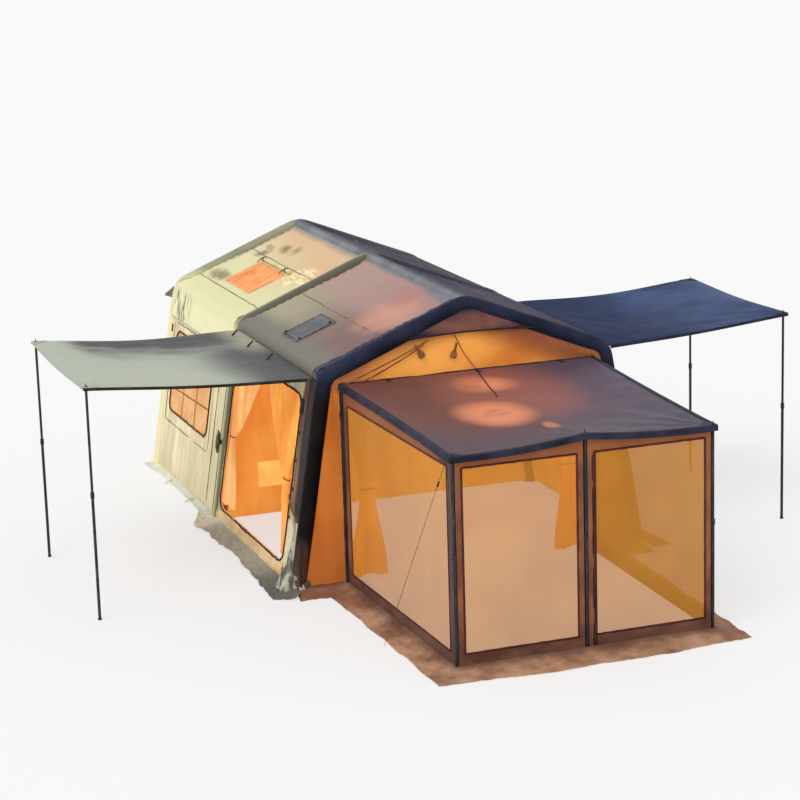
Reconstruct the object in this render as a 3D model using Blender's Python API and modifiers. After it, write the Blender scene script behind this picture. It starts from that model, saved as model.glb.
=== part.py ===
"""Inflatable cabin tent with a mesh porch in front and a raised awning on each side.

Three air-beam arches carry the roof and the walls. Telescopic poles carry the porch
and the two awnings. Metres, +Z up, the door end faces -Y.
"""
import math

import bmesh
import bpy
from mathutils import Matrix, Vector

# Air beams
BEAM_RADIUS = 0.075
EAVE_HALF_WIDTH = 1.4135
BASE_HALF_WIDTH = 1.749
EAVE_HEIGHT = 2.0
RIDGE_HEIGHT = 2.566
FRONT_BAY = 2.54
REAR_BAY = 2.31
EAVE_BEND = 0.17
RIDGE_BEND = 0.20
BEAM_BEVEL = 4

# Fabric and clearances
FABRIC = 0.003
GAP = 0.0003
SMALL = 0.0001
CUT_DEPTH = 0.1

# Roof
ROOF_LIFT = 0.045
SHEET_OVERLAP = 0.03
FRONT_VALANCE = 0.03
REAR_VALANCE = 0.30
SKYLIGHT_LENGTH = 0.87
SKYLIGHT_WIDTH = 0.43
SKYLIGHT_FROM_RIDGE = 0.70
SKYLIGHT_FROM_MIDDLE_ARCH = 0.66
SKYLIGHT_CORNER = 0.02
COVER_ROLL_RADIUS = 0.024
COVER_ROLL_EXTRA = 0.05
COVER_ROLL_TAPER = 0.22
COVER_ROLL_STEPS = 8
COVER_ROLL_SETBACK = 0.01
FLAP_LENGTH = 0.42
FLAP_WIDTH = 0.43
FLAP_FROM_RIDGE = 0.90
FLAP_FROM_FRONT_ARCH = 1.08
FLAP_THICKNESS = 0.006
VENT_MARGIN = 0.05

# Cabin walls
WALL_LIFT = 0.04
WALL_FOOT = 0.02
WINDOW_LENGTH = 1.42
WINDOW_HEIGHT = 0.84
WINDOW_SILL = 0.70
WINDOW_FROM_MIDDLE_ARCH = 0.62
WINDOW_CORNER = 0.10
DOOR_FRONT_POST = 0.39
DOOR_REAR_POST = 0.11
DOOR_SILL = 0.17
DOOR_HEAD_DROP = 0.28
DOOR_CORNER = 0.12
DOORWAY_HEAD_DROP = 0.20
PARTITION_LIFT = 0.04

# Tied-back curtains
CURTAIN_THICKNESS = 0.05
CURTAIN_TIE_HEIGHT = 0.88
CURTAIN_FOOT = 0.20
CURTAIN_SWEEP = 0.8
CURTAIN_BACK_AT_POST = 0.75
CURTAIN_HEAD = 0.04
CURTAIN_SIDE = 0.03
CURTAIN_MEETING = 0.006
CURTAIN_STEPS = 10
FRONT_DOOR_TIE_FROM = 0.20
FRONT_DOOR_TIE_WIDTH = 0.15
FRONT_DOOR_FOOT_WIDTH = 0.18
REAR_DOOR_TOP_WIDTH = 0.84
REAR_DOOR_TIE_FROM = 0.02
REAR_DOOR_TIE_WIDTH = 0.10
REAR_DOOR_FOOT_WIDTH = 0.34
DOORWAY_TIE_FROM = 0.12
DOORWAY_TIE_WIDTH = 0.14
DOORWAY_FOOT_WIDTH = 0.36

# Porch
PORCH_LENGTH = 2.564
PORCH_POLE_INSET = 0.0765
PORCH_NARROWING = 0.057
PORCH_CORNER_DROP = 0.20
PORCH_CENTRE_DROP = 0.136
PORCH_REAR_DROP = 0.132
PORCH_EAVE = 0.03
PORCH_HEM = 0.045
PORCH_SAG = 0.07
PORCH_EDGE_SAG = 0.022
PORCH_WALL_BORDER = 0.075
PORCH_SIDE_BORDER = 0.12
PORCH_EDGE_CURVE = 0.02
PORCH_COLUMNS = 12
PORCH_ROWS = 8
MESH_THICKNESS = 0.002
MUD_BAND = 0.15
MESH_HEAD_DROP = 0.10

# Poles
UPPER_TUBE_RADIUS = 0.0115
LOWER_TUBE_RADIUS = 0.0135
TUBE_BORE = 0.0095
COLLAR_RADIUS = 0.018
COLLAR_HEIGHT = 0.05
FOOT_HEIGHT = 0.012
SPIKE_RADIUS = 0.004
SPIKE_LENGTH = 0.05
PORCH_LOWER_LENGTH = 1.00
PORCH_UPPER_START = 0.82
AWNING_LOWER_LENGTH = 1.15
AWNING_UPPER_START = 0.95
POLE_STEPS = 12

# Awnings: runs are outwards from the eave, rises are above it, setbacks are from the arches
LEFT_AWNING_RUN = 2.0665
RIGHT_AWNING_RUN = 1.8965
LEFT_AWNING_RISE = 0.08
RIGHT_AWNING_RISE = 0.03
LEFT_AWNING_FRONT = 0.00
RIGHT_AWNING_FRONT = 0.18
LEFT_AWNING_BACK = 0.49
RIGHT_AWNING_BACK = 0.42
AWNING_INNER_SETBACK = 0.10
AWNING_HINGE_DROP = 0.03
AWNING_FALL = math.radians(20)
AWNING_CORNER = 0.035
AWNING_SAG = 0.09
AWNING_SAG_AT_FREE_EDGES = 0.35
AWNING_SAG_BETWEEN_POLES = 0.25
AWNING_EDGE_CURVE = 0.06
SLOT_LENGTH = 0.012
AWNING_CELLS = 6

# Ground skirts
SKIRT_REACH = 0.17
PORCH_SKIRT_REACH = 0.24
SKIRT_RISE = 0.05
SKIRT_BEND = 0.35
SKIRT_THICKNESS = 0.004
SKIRT_START = -0.20
FRONT_SKIRT_INSET = 0.049

# Guy line, valve and zip
GUY_RADIUS = 0.002
GUY_GROUND_OUT = 0.31
GUY_GROUND_BACK = 0.864
GUY_SLIDER_AT = 0.12
GUY_POINTS = 20
GUY_SLIDER_LENGTH = 0.045
GUY_SLIDER_RADIUS = 0.009
VALVE_HEIGHT = 0.78
VALVE_RADIUS = 0.024
VALVE_DEPTH = 0.022
VALVE_CAP_RADIUS = 0.029
VALVE_CAP_DEPTH = 0.012
ZIP_HEIGHT = 0.25
ZIP_WIDTH = 0.016
ZIP_DEPTH = 0.008
ZIP_LENGTH = 0.026

# Heights that follow the eave, and widths that follow the arches' legs
LEAN = math.atan2(BASE_HALF_WIDTH - EAVE_HALF_WIDTH, EAVE_HEIGHT)
SLOPE = math.atan2(RIDGE_HEIGHT - EAVE_HEIGHT, EAVE_HALF_WIDTH)
DOOR_HEAD = EAVE_HEIGHT - DOOR_HEAD_DROP
DOORWAY_HEAD = EAVE_HEIGHT - DOORWAY_HEAD_DROP
PORCH_CORNER_HEIGHT = EAVE_HEIGHT - PORCH_CORNER_DROP
PORCH_CENTRE_HEIGHT = EAVE_HEIGHT - PORCH_CENTRE_DROP
PORCH_REAR_HEIGHT = EAVE_HEIGHT - PORCH_REAR_DROP
MESH_HEAD = PORCH_CORNER_HEIGHT - MESH_HEAD_DROP
LEG_INSIDE = BASE_HALF_WIDTH - 2 * BEAM_RADIUS / math.cos(LEAN)
PORCH_REAR_HALF_WIDTH = LEG_INSIDE - PORCH_REAR_HEIGHT * math.tan(LEAN) - PORCH_POLE_INSET
PORCH_FRONT_HALF_WIDTH = PORCH_REAR_HALF_WIDTH - PORCH_NARROWING
DOORWAY_HALF_WIDTH = PORCH_FRONT_HALF_WIDTH

# Awnings: distances from the cabin's centre line and from the front arch
AWNING_REACH = {"left": EAVE_HALF_WIDTH + LEFT_AWNING_RUN, "right": EAVE_HALF_WIDTH + RIGHT_AWNING_RUN}
AWNING_POLE_HEIGHT = {"left": EAVE_HEIGHT + LEFT_AWNING_RISE, "right": EAVE_HEIGHT + RIGHT_AWNING_RISE}
AWNING_FRONT = {"left": LEFT_AWNING_FRONT, "right": RIGHT_AWNING_FRONT}
AWNING_BACK = {"left": FRONT_BAY - LEFT_AWNING_BACK, "right": FRONT_BAY - RIGHT_AWNING_BACK}
AWNING_INNER_FRONT = AWNING_INNER_SETBACK
AWNING_INNER_BACK = FRONT_BAY - AWNING_INNER_SETBACK

# The tent's own axes sit here in the world, so that the whole part is centred
REACH_Y_FRONT = PORCH_LENGTH + PORCH_SKIRT_REACH
REACH_Y_BACK = FRONT_BAY + REAR_BAY + WALL_LIFT + SKIRT_REACH
CENTRE_X = (AWNING_REACH["left"] - AWNING_REACH["right"]) / 2
CENTRE_Y = (REACH_Y_FRONT - REACH_Y_BACK) / 2

ARCH_AT = {"front": 0.0, "middle": FRONT_BAY, "rear": FRONT_BAY + REAR_BAY}
BAYS = {"front": ("front", "middle"), "rear": ("middle", "rear")}
SIDES = ("left", "right")
CUT_RADIUS = BEAM_RADIUS + GAP


def clear_scene():
    """Remove every object, so that the script can run again."""
    for obj in list(bpy.data.objects):
        bpy.data.objects.remove(obj, do_unlink=True)
    for collection in list(bpy.data.collections):
        bpy.data.collections.remove(collection)


def new_collection(name):
    collection = bpy.data.collections.new(name)
    bpy.context.scene.collection.children.link(collection)
    return collection


clear_scene()
TENT = new_collection("camping_tent")
CUTTERS = new_collection("cutters")
ORIGIN = bpy.data.objects.new("tent_origin", None)
ORIGIN.location = (CENTRE_X, CENTRE_Y, 0.0)
TENT.objects.link(ORIGIN)


def make_material(name, colour, roughness, metallic=0.0, alpha=1.0):
    material = bpy.data.materials.new(name)
    material.use_nodes = True
    shader = material.node_tree.nodes["Principled BSDF"]
    shader.inputs["Base Color"].default_value = (*colour, 1.0)
    shader.inputs["Roughness"].default_value = roughness
    shader.inputs["Metallic"].default_value = metallic
    shader.inputs["Alpha"].default_value = alpha
    return material


NAVY = make_material("navy_sleeve", (0.035, 0.05, 0.09), 0.6)
PALE = make_material("pale_sleeve", (0.42, 0.42, 0.34), 0.7)
CREAM = make_material("cream_canvas", (0.72, 0.68, 0.46), 0.8)
MAUVE = make_material("mauve_canvas", (0.36, 0.28, 0.27), 0.7)
ORANGE = make_material("orange_canvas", (0.80, 0.38, 0.12), 0.7)
BROWN = make_material("brown_canvas", (0.30, 0.16, 0.11), 0.7)
GREY = make_material("grey_canvas", (0.30, 0.31, 0.28), 0.8)
GREEN_GREY = make_material("awning_left_canvas", (0.22, 0.25, 0.24), 0.6)
SLATE = make_material("awning_right_canvas", (0.06, 0.08, 0.14), 0.6)
MESH = make_material("insect_mesh", (0.10, 0.07, 0.05), 0.9, alpha=0.3)
FILM = make_material("window_film", (0.85, 0.50, 0.25), 0.3, alpha=0.6)
BLACK_METAL = make_material("black_pole", (0.02, 0.02, 0.02), 0.35, metallic=0.8)
BLACK_PLASTIC = make_material("black_plastic", (0.02, 0.02, 0.02), 0.45)
CORD = make_material("guy_cord", (0.05, 0.05, 0.04), 0.8)


def smooth_step(t):
    """Ease from 0 to 1 with a level start and end."""
    return t * t * (3 - 2 * t)


def frame_matrix(origin, along, up):
    """Local x runs along, local y runs up, local z is their cross product."""
    x = Vector(along).normalized()
    y = Vector(up).normalized()
    z = x.cross(y)
    matrix = Matrix((x, y, z)).transposed().to_4x4()
    matrix.translation = Vector(origin)
    return matrix


def mirrored(mesh):
    """Reflect a mesh from the left side of the tent to the right."""
    bm = bmesh.new()
    bm.from_mesh(mesh)
    for vertex in bm.verts:
        vertex.co.x = -vertex.co.x
    bmesh.ops.reverse_faces(bm, faces=bm.faces)
    bm.to_mesh(mesh)
    bm.free()
    return mesh


def add_object(name, mesh, material=None, origin=(0, 0, 0), collection=TENT):
    """Link a mesh made in tent axes as an object whose origin is at the given point."""
    mesh.transform(Matrix.Translation(-Vector(origin)))
    if material is not None:
        mesh.materials.clear()
        mesh.materials.append(material)
    obj = bpy.data.objects.new(name, mesh)
    obj.location = origin
    obj.parent = ORIGIN
    collection.objects.link(obj)
    return obj


def add_cutter(name, mesh):
    obj = add_object("tool_" + name, mesh, collection=CUTTERS)
    obj.hide_render = True
    obj.display_type = "WIRE"
    return obj


def combine(obj, operation, tools):
    """Add an exact Boolean with each tool."""
    for tool in tools:
        modifier = obj.modifiers.new(f"{operation.lower()}_{tool.name}", "BOOLEAN")
        modifier.operation = operation
        modifier.solver = "EXACT"
        modifier.object = tool


def cut(obj, *cutters):
    combine(obj, "DIFFERENCE", cutters)
    return obj


def thicken(obj, thickness, offset=0.0):
    """Turn an open surface into a closed sheet."""
    modifier = obj.modifiers.new("thickness", "SOLIDIFY")
    modifier.thickness = thickness
    modifier.offset = offset
    modifier.use_even_offset = True
    modifier.use_rim = True
    return obj


def mesh_from_curve(curve):
    """Evaluate a curve, weld its caps and return the mesh."""
    holder = bpy.data.objects.new("curve_holder", curve)
    bpy.context.scene.collection.objects.link(holder)
    depsgraph = bpy.context.evaluated_depsgraph_get()
    mesh = bpy.data.meshes.new_from_object(holder.evaluated_get(depsgraph))
    bpy.data.objects.remove(holder, do_unlink=True)
    bpy.data.curves.remove(curve)
    bm = bmesh.new()
    bm.from_mesh(mesh)
    bmesh.ops.remove_doubles(bm, verts=bm.verts, dist=SMALL / 10)
    bmesh.ops.recalc_face_normals(bm, faces=bm.faces)
    bm.to_mesh(mesh)
    bm.free()
    return mesh


def add_spline(curve, points, cyclic):
    spline = curve.splines.new("POLY")
    spline.points.add(len(points) - 1)
    for target, point in zip(spline.points, points):
        target.co = (*Vector(point).to_3d(), 1.0)
    spline.use_cyclic_u = cyclic


def tube_mesh(points, radius, bevel=BEAM_BEVEL):
    """A round tube along a line of points, with filled ends."""
    curve = bpy.data.curves.new("tube", "CURVE")
    curve.dimensions = "3D"
    curve.bevel_depth = radius
    curve.bevel_resolution = bevel
    curve.use_fill_caps = True
    add_spline(curve, points, cyclic=False)
    return mesh_from_curve(curve)


def plate_mesh(loops, thickness, frame):
    """A flat plate from closed outlines; an outline inside another is a hole."""
    curve = bpy.data.curves.new("plate", "CURVE")
    curve.dimensions = "2D"
    curve.fill_mode = "BOTH"
    curve.extrude = thickness / 2
    for loop in loops:
        add_spline(curve, loop, cyclic=True)
    mesh = mesh_from_curve(curve)
    mesh.transform(frame)
    return mesh


def box_mesh(size, centre):
    bm = bmesh.new()
    bmesh.ops.create_cube(bm, size=1.0)
    bmesh.ops.scale(bm, vec=size, verts=bm.verts)
    bmesh.ops.translate(bm, vec=centre, verts=bm.verts)
    mesh = bpy.data.meshes.new("box")
    bm.to_mesh(mesh)
    bm.free()
    return mesh


def cylinder_mesh(radius, start, end, sides=24):
    """A cylinder between two points."""
    start = Vector(start)
    axis = Vector(end) - start
    turn = axis.to_track_quat("Z", "Y").to_matrix().to_4x4()
    bm = bmesh.new()
    bmesh.ops.create_cone(bm, cap_ends=True, segments=sides, radius1=radius, radius2=radius,
                          depth=axis.length)
    bmesh.ops.transform(bm, matrix=Matrix.Translation(start + axis / 2) @ turn, verts=bm.verts)
    mesh = bpy.data.meshes.new("cylinder")
    bm.to_mesh(mesh)
    bm.free()
    return mesh


def grid_mesh(rows, height=0.0):
    """A surface of triangles through rows of points; with a height it becomes a solid."""
    bm = bmesh.new()
    made = [[bm.verts.new(point) for point in row] for row in rows]
    for first, second in zip(made, made[1:]):
        for i in range(len(first) - 1):
            bm.faces.new((first[i], first[i + 1], second[i]))
            bm.faces.new((first[i + 1], second[i + 1], second[i]))
    if height:
        raised = bmesh.ops.extrude_face_region(bm, geom=bm.faces[:])
        verts = [item for item in raised["geom"] if isinstance(item, bmesh.types.BMVert)]
        bmesh.ops.translate(bm, vec=(0, 0, height), verts=verts)
        bmesh.ops.recalc_face_normals(bm, faces=bm.faces)
    mesh = bpy.data.meshes.new("grid")
    bm.to_mesh(mesh)
    bm.free()
    return mesh


def add_turned(name, profile, material, origin):
    """A turned piece: a profile of (radius, height) pairs round the Z axis at origin."""
    bm = bmesh.new()
    verts = [bm.verts.new((radius, 0.0, height)) for radius, height in profile]
    for first, second in zip(verts, verts[1:]):
        bm.edges.new((first, second))
    mesh = bpy.data.meshes.new(name)
    bm.to_mesh(mesh)
    bm.free()
    mesh.materials.append(material)
    obj = bpy.data.objects.new(name, mesh)
    obj.location = origin
    obj.parent = ORIGIN
    TENT.objects.link(obj)
    screw = obj.modifiers.new("turn", "SCREW")
    screw.steps = POLE_STEPS
    screw.render_steps = POLE_STEPS
    screw.use_merge_vertices = True
    screw.merge_threshold = SMALL / 10
    screw.use_normal_flip = True
    return obj


def rounded_rectangle(x0, y0, x1, y1, radius, steps=4):
    """A rectangle's outline with round corners."""
    corners = ((x1 - radius, y0 + radius, -90), (x1 - radius, y1 - radius, 0),
               (x0 + radius, y1 - radius, 90), (x0 + radius, y0 + radius, 180))
    loop = []
    for cx, cy, start in corners:
        for i in range(steps + 1):
            angle = math.radians(start + 90 * i / steps)
            loop.append((cx + radius * math.cos(angle), cy + radius * math.sin(angle)))
    return loop


def meet(p, d, q, e):
    """Where the line through p along d meets the line through q along e, in a plane."""
    t = ((q[0] - p[0]) * e[1] - (q[1] - p[1]) * e[0]) / (d[0] * e[1] - d[1] * e[0])
    return (p[0] + t * d[0], p[1] + t * d[1])


def fillet(before, corner, after, radius, steps=5):
    """An arc of the given radius that rounds a corner of a flat polyline."""
    corner = Vector(corner)
    first = (Vector(before) - corner).normalized()
    second = (Vector(after) - corner).normalized()
    half = first.angle(second) / 2
    bisector = (first + second).normalized()
    centre = corner + bisector * (radius / math.sin(half))
    sweep = math.pi - 2 * half
    start = first * (radius / math.tan(half)) + corner - centre
    turn = math.copysign(1, start.x * second.y - start.y * second.x)
    points = []
    for i in range(steps + 1):
        angle = turn * sweep * i / steps
        c, s = math.cos(angle), math.sin(angle)
        points.append((centre.x + start.x * c - start.y * s, centre.y + start.x * s + start.y * c))
    return points


# Centre lines of an arch in its own plane, as (x, z)
LEG_UP = (math.sin(LEAN), math.cos(LEAN))
LEG_OUT = (-math.cos(LEAN), math.sin(LEAN))
ROOF_UP = (math.cos(SLOPE), math.sin(SLOPE))
BASE_CENTRE = (-BASE_HALF_WIDTH + BEAM_RADIUS / math.cos(LEAN), 0.0)
RIDGE_CENTRE = (0.0, RIDGE_HEIGHT - BEAM_RADIUS / math.cos(SLOPE))
EAVE_CENTRE = meet(BASE_CENTRE, LEG_UP, RIDGE_CENTRE, ROOF_UP)
RIDGE_MIRROR = (-EAVE_CENTRE[0], EAVE_CENTRE[1])
EAVE_ARC = fillet(BASE_CENTRE, EAVE_CENTRE, RIDGE_CENTRE, EAVE_BEND, 6)
RIDGE_ARC = fillet(EAVE_CENTRE, RIDGE_CENTRE, RIDGE_MIRROR, RIDGE_BEND, 4)
EAVE_BEAM = EAVE_ARC[3]
RIDGE_BEAM = RIDGE_ARC[2]


def arch_points(y, foot=0.0):
    """The centre line of a whole arch; foot lengthens its legs below the ground."""
    half = [(BASE_CENTRE[0] - foot * math.tan(LEAN), -foot)] + EAVE_ARC + RIDGE_ARC[:3]
    other = [(-x, z) for x, z in reversed(half[:-1])]
    return [(x, y, z) for x, z in half + other]


def wall_frame(depth):
    """Frame of the left wall: x runs back from the front arch, y up the lean, z inwards.

    depth is the distance inwards from the plane through the arch legs' centres.
    """
    inward = Vector((math.cos(LEAN), 0, -math.sin(LEAN)))
    foot = Vector((BASE_CENTRE[0], 0, 0)) + inward * depth
    foot -= Vector((LEG_UP[0], 0, LEG_UP[1])) * (foot.z / LEG_UP[1])
    return frame_matrix(foot, (0, 1, 0), (LEG_UP[0], 0, LEG_UP[1]))


# The roof sheet bends round the eave beam in flats, which need more than the usual gap
COVER = BEAM_RADIUS + 3 * GAP + FABRIC / 2
# Its line from the ridge beam to its tangent over the eave beam
RIDGE_SEAT = (RIDGE_BEAM[0] - ROOF_LIFT * math.sin(SLOPE), RIDGE_BEAM[1] + ROOF_LIFT * math.cos(SLOPE))
SEAT_TO_EAVE = (EAVE_BEAM[0] - RIDGE_SEAT[0], EAVE_BEAM[1] - RIDGE_SEAT[1])
SHEET_ANGLE = math.atan2(-SEAT_TO_EAVE[1], -SEAT_TO_EAVE[0]) - math.asin(COVER / math.hypot(*SEAT_TO_EAVE))
SHEET_DOWN = (-math.cos(SHEET_ANGLE), -math.sin(SHEET_ANGLE))
SHEET_OUT = (-math.sin(SHEET_ANGLE), math.cos(SHEET_ANGLE))


def roof_frame(lift):
    """Frame on the left slope: x runs down from the ridge, y runs forwards, z is up and out."""
    origin = (RIDGE_SEAT[0] + SHEET_OUT[0] * lift, 0, RIDGE_SEAT[1] + SHEET_OUT[1] * lift)
    return frame_matrix(origin, (SHEET_DOWN[0], 0, SHEET_DOWN[1]), (0, -1, 0))


def build_cutters():
    """The pieces that others seat against, enlarged by the gap, and the ground."""
    cutters = {"ground": add_cutter("ground", box_mesh((12, 12, 1), (0, 0, -0.5)))}
    for name, y in ARCH_AT.items():
        cutters[name] = add_cutter("arch_" + name, tube_mesh(arch_points(y, 0.1), CUT_RADIUS))
    back = ARCH_AT["rear"]
    cutters["ridge"] = add_cutter("ridge", tube_mesh(beam_points(RIDGE_BEAM, 0, back), CUT_RADIUS))
    for side in SIDES:
        mesh = tube_mesh(beam_points(EAVE_BEAM, 0, back), CUT_RADIUS)
        if side == "right":
            mirrored(mesh)
        cutters["eave_" + side] = add_cutter("eave_" + side, mesh)
    return cutters


def beam_points(centre, start, end):
    return [(centre[0], start, centre[1]), (centre[0], end, centre[1])]


def build_air_frame(cutters):
    """The end arches, and the middle arch in one piece with the ridge and eave beams."""
    for name in ("front", "rear"):
        material = NAVY if name == "front" else PALE
        mesh = tube_mesh(arch_points(ARCH_AT[name], 0.1), BEAM_RADIUS)
        cut(add_object("air_arch_" + name, mesh, material), cutters["ground"])
    mesh = tube_mesh(arch_points(ARCH_AT["middle"], 0.1), BEAM_RADIUS)
    frame = add_object("air_frame", mesh, PALE)
    inset = BEAM_RADIUS / 10
    start, end = ARCH_AT["front"] + inset, ARCH_AT["rear"] - inset
    beams = {
        "ridge": tube_mesh(beam_points(RIDGE_BEAM, start, end), BEAM_RADIUS),
        "eave_left": tube_mesh(beam_points(EAVE_BEAM, start, end), BEAM_RADIUS),
        "eave_right": mirrored(tube_mesh(beam_points(EAVE_BEAM, start, end), BEAM_RADIUS)),
    }
    combine(frame, "UNION", [add_cutter("beam_" + name, mesh) for name, mesh in beams.items()])
    cut(frame, cutters["ground"], cutters["front"], cutters["rear"])


def roof_profile(valance):
    """Points down a roof sheet: straight, round the eave beam, then down as a valance."""
    run = math.sqrt(SEAT_TO_EAVE[0] ** 2 + SEAT_TO_EAVE[1] ** 2 - COVER ** 2)
    points = [(RIDGE_SEAT[0] + SHEET_DOWN[0] * run * t, RIDGE_SEAT[1] + SHEET_DOWN[1] * run * t)
              for t in (0.0, 0.5, 1.0)]
    start = math.atan2(SHEET_OUT[1], SHEET_OUT[0])
    end = math.atan2(LEG_OUT[1], LEG_OUT[0])
    for i in range(1, 6):
        angle = start + (end - start) * i / 5
        points.append((EAVE_BEAM[0] + COVER * math.cos(angle), EAVE_BEAM[1] + COVER * math.sin(angle)))
    last = points[-1]
    points.append((last[0] - LEG_UP[0] * valance, last[1] - LEG_UP[1] * valance))
    return points


def skylight_outline(margin):
    """The skylight on the left slope; a margin makes it smaller all round."""
    near = -ARCH_AT["middle"] - SKYLIGHT_FROM_MIDDLE_ARCH
    return rounded_rectangle(SKYLIGHT_FROM_RIDGE + margin, near - SKYLIGHT_LENGTH + margin,
                             SKYLIGHT_FROM_RIDGE + SKYLIGHT_WIDTH - margin, near - margin,
                             SKYLIGHT_CORNER, 2)


def vent_outline(margin):
    """The mesh vent under the roof flap."""
    inset = VENT_MARGIN + margin
    near = -FLAP_FROM_FRONT_ARCH
    return rounded_rectangle(FLAP_FROM_RIDGE + inset, near - FLAP_LENGTH + inset,
                             FLAP_FROM_RIDGE + FLAP_WIDTH - inset, near - inset, SKYLIGHT_CORNER, 2)


def build_roof(cutters):
    for side in SIDES:
        for bay, (first, last) in BAYS.items():
            valance = FRONT_VALANCE if bay == "front" else REAR_VALANCE
            y0 = ARCH_AT[first] + SHEET_OVERLAP
            y1 = ARCH_AT[last] - SHEET_OVERLAP
            rows = [[(x, y, z) for x, z in roof_profile(valance)] for y in (y1, y0)]
            mesh = grid_mesh(rows)
            if side == "right":
                mirrored(mesh)
            sheet = add_object(f"roof_{side}_{bay}", mesh, MAUVE if bay == "front" else CREAM)
            thicken(sheet, FABRIC)
            cut(sheet, cutters[first], cutters[last], cutters["ridge"])
            if side == "left":
                hole = vent_outline(0.0) if bay == "front" else skylight_outline(0.0)
                cut(sheet, add_cutter("roof_" + bay, plate_mesh([hole], CUT_DEPTH, roof_frame(0.0))))
    add_object("skylight_window", plate_mesh([skylight_outline(GAP)], FABRIC, roof_frame(0.0)), FILM)
    add_object("roof_vent_mesh", plate_mesh([vent_outline(GAP)], MESH_THICKNESS, roof_frame(0.0)), MESH)
    build_skylight_cover()
    build_roof_flap()


def build_skylight_cover():
    """The skylight's cover, rolled up along the edge nearer the ridge."""
    frame = roof_frame(FABRIC / 2 + GAP + COVER_ROLL_RADIUS)
    at = SKYLIGHT_FROM_RIDGE - COVER_ROLL_RADIUS - COVER_ROLL_SETBACK
    near = -ARCH_AT["middle"] - SKYLIGHT_FROM_MIDDLE_ARCH
    start = frame @ Vector((at, near + COVER_ROLL_EXTRA, 0))
    end = frame @ Vector((at, near - SKYLIGHT_LENGTH - COVER_ROLL_EXTRA, 0))
    length = (end - start).length
    points = [start.lerp(end, i / COVER_ROLL_STEPS) for i in range(COVER_ROLL_STEPS + 1)]
    mesh = tube_mesh(points, COVER_ROLL_RADIUS, 3)
    middle = (start + end) / 2
    axis = (end - start).normalized()
    for vertex in mesh.vertices:
        along = abs((vertex.co - middle).dot(axis)) / (length / 2)
        on_axis = middle + axis * (vertex.co - middle).dot(axis)
        shrink = 1 - COVER_ROLL_TAPER * smooth_step(along)
        vertex.co = on_axis + (vertex.co - on_axis) * shrink
    add_object("skylight_cover", mesh, CREAM)


def flap_hinge_point():
    """The middle of the roof flap's hinged edge, in tent axes."""
    lift = FABRIC / 2 + GAP + FLAP_THICKNESS / 2
    y = FLAP_FROM_FRONT_ARCH + FLAP_LENGTH / 2
    return roof_frame(lift) @ Vector((FLAP_FROM_RIDGE, -y, 0))


def build_roof_flap():
    """The square cover over the roof vent, hinged on its ridge side."""
    lift = FABRIC / 2 + GAP + FLAP_THICKNESS / 2
    y = FLAP_FROM_FRONT_ARCH
    outline = [(FLAP_FROM_RIDGE, -y - FLAP_LENGTH), (FLAP_FROM_RIDGE + FLAP_WIDTH, -y - FLAP_LENGTH),
               (FLAP_FROM_RIDGE + FLAP_WIDTH, -y), (FLAP_FROM_RIDGE, -y)]
    mesh = plate_mesh([outline], FLAP_THICKNESS, roof_frame(lift))
    add_object("roof_vent_flap", mesh, GREY, origin=flap_hinge_point())


def window_outline(margin):
    start = ARCH_AT["middle"] + WINDOW_FROM_MIDDLE_ARCH
    return rounded_rectangle(start + margin, WINDOW_SILL + margin, start + WINDOW_LENGTH - margin,
                             WINDOW_SILL + WINDOW_HEIGHT - margin, WINDOW_CORNER - margin)


def door_outline(margin):
    return rounded_rectangle(DOOR_FRONT_POST + margin, DOOR_SILL + margin,
                             FRONT_BAY - DOOR_REAR_POST - margin, DOOR_HEAD - margin,
                             DOOR_CORNER - margin)


def side_plate(side, loops, thickness, depth):
    mesh = plate_mesh(loops, thickness, wall_frame(depth))
    if side == "right":
        mirrored(mesh)
    return mesh


def build_side_walls(cutters):
    top = EAVE_BEAM[1] / math.cos(LEAN)
    for side in SIDES:
        for bay, (first, last) in BAYS.items():
            y0, y1 = ARCH_AT[first], ARCH_AT[last]
            hole = door_outline(0.0) if bay == "front" else window_outline(0.0)
            loops = [[(y0, WALL_FOOT), (y1, WALL_FOOT), (y1, top), (y0, top)], hole]
            wall = add_object(f"wall_{side}_{bay}", side_plate(side, loops, FABRIC, -WALL_LIFT), CREAM)
            cut(wall, cutters[first], cutters[last], cutters["eave_" + side])
        pane = side_plate(side, [window_outline(GAP)], FABRIC, -WALL_LIFT)
        add_object("window_" + side, pane, FILM)
    panel = side_plate("right", [door_outline(GAP)], FABRIC, -WALL_LIFT)
    add_object("door_panel_right", panel, ORANGE)


def curtain_outline(top, foot, top_width, foot_width, tie_from, tie_width):
    """A curtain drawn to one side, as distances from its post and heights.

    At the tie it leaves its post by tie_from and is tie_width wide. Above the tie its post
    edge swings back to the post, and below it hangs straight again.
    """
    steps = [i / CURTAIN_STEPS for i in range(CURTAIN_STEPS + 1)]
    free, post = [], []
    for t in steps:
        z = foot + (CURTAIN_TIE_HEIGHT - foot) * t
        drawn = smooth_step(t)
        post.append((tie_from * drawn, z))
        free.append((foot_width + (tie_from + tie_width - foot_width) * drawn, z))
    for t in steps[1:]:
        z = CURTAIN_TIE_HEIGHT + (top - CURTAIN_TIE_HEIGHT) * t
        drawn = 1 - smooth_step(min(1.0, t / CURTAIN_BACK_AT_POST))
        post.append((tie_from * drawn, z))
        tied = tie_from + tie_width
        free.append((tied + (top_width - tied) * t ** CURTAIN_SWEEP, z))
    return free + post[::-1]


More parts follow.
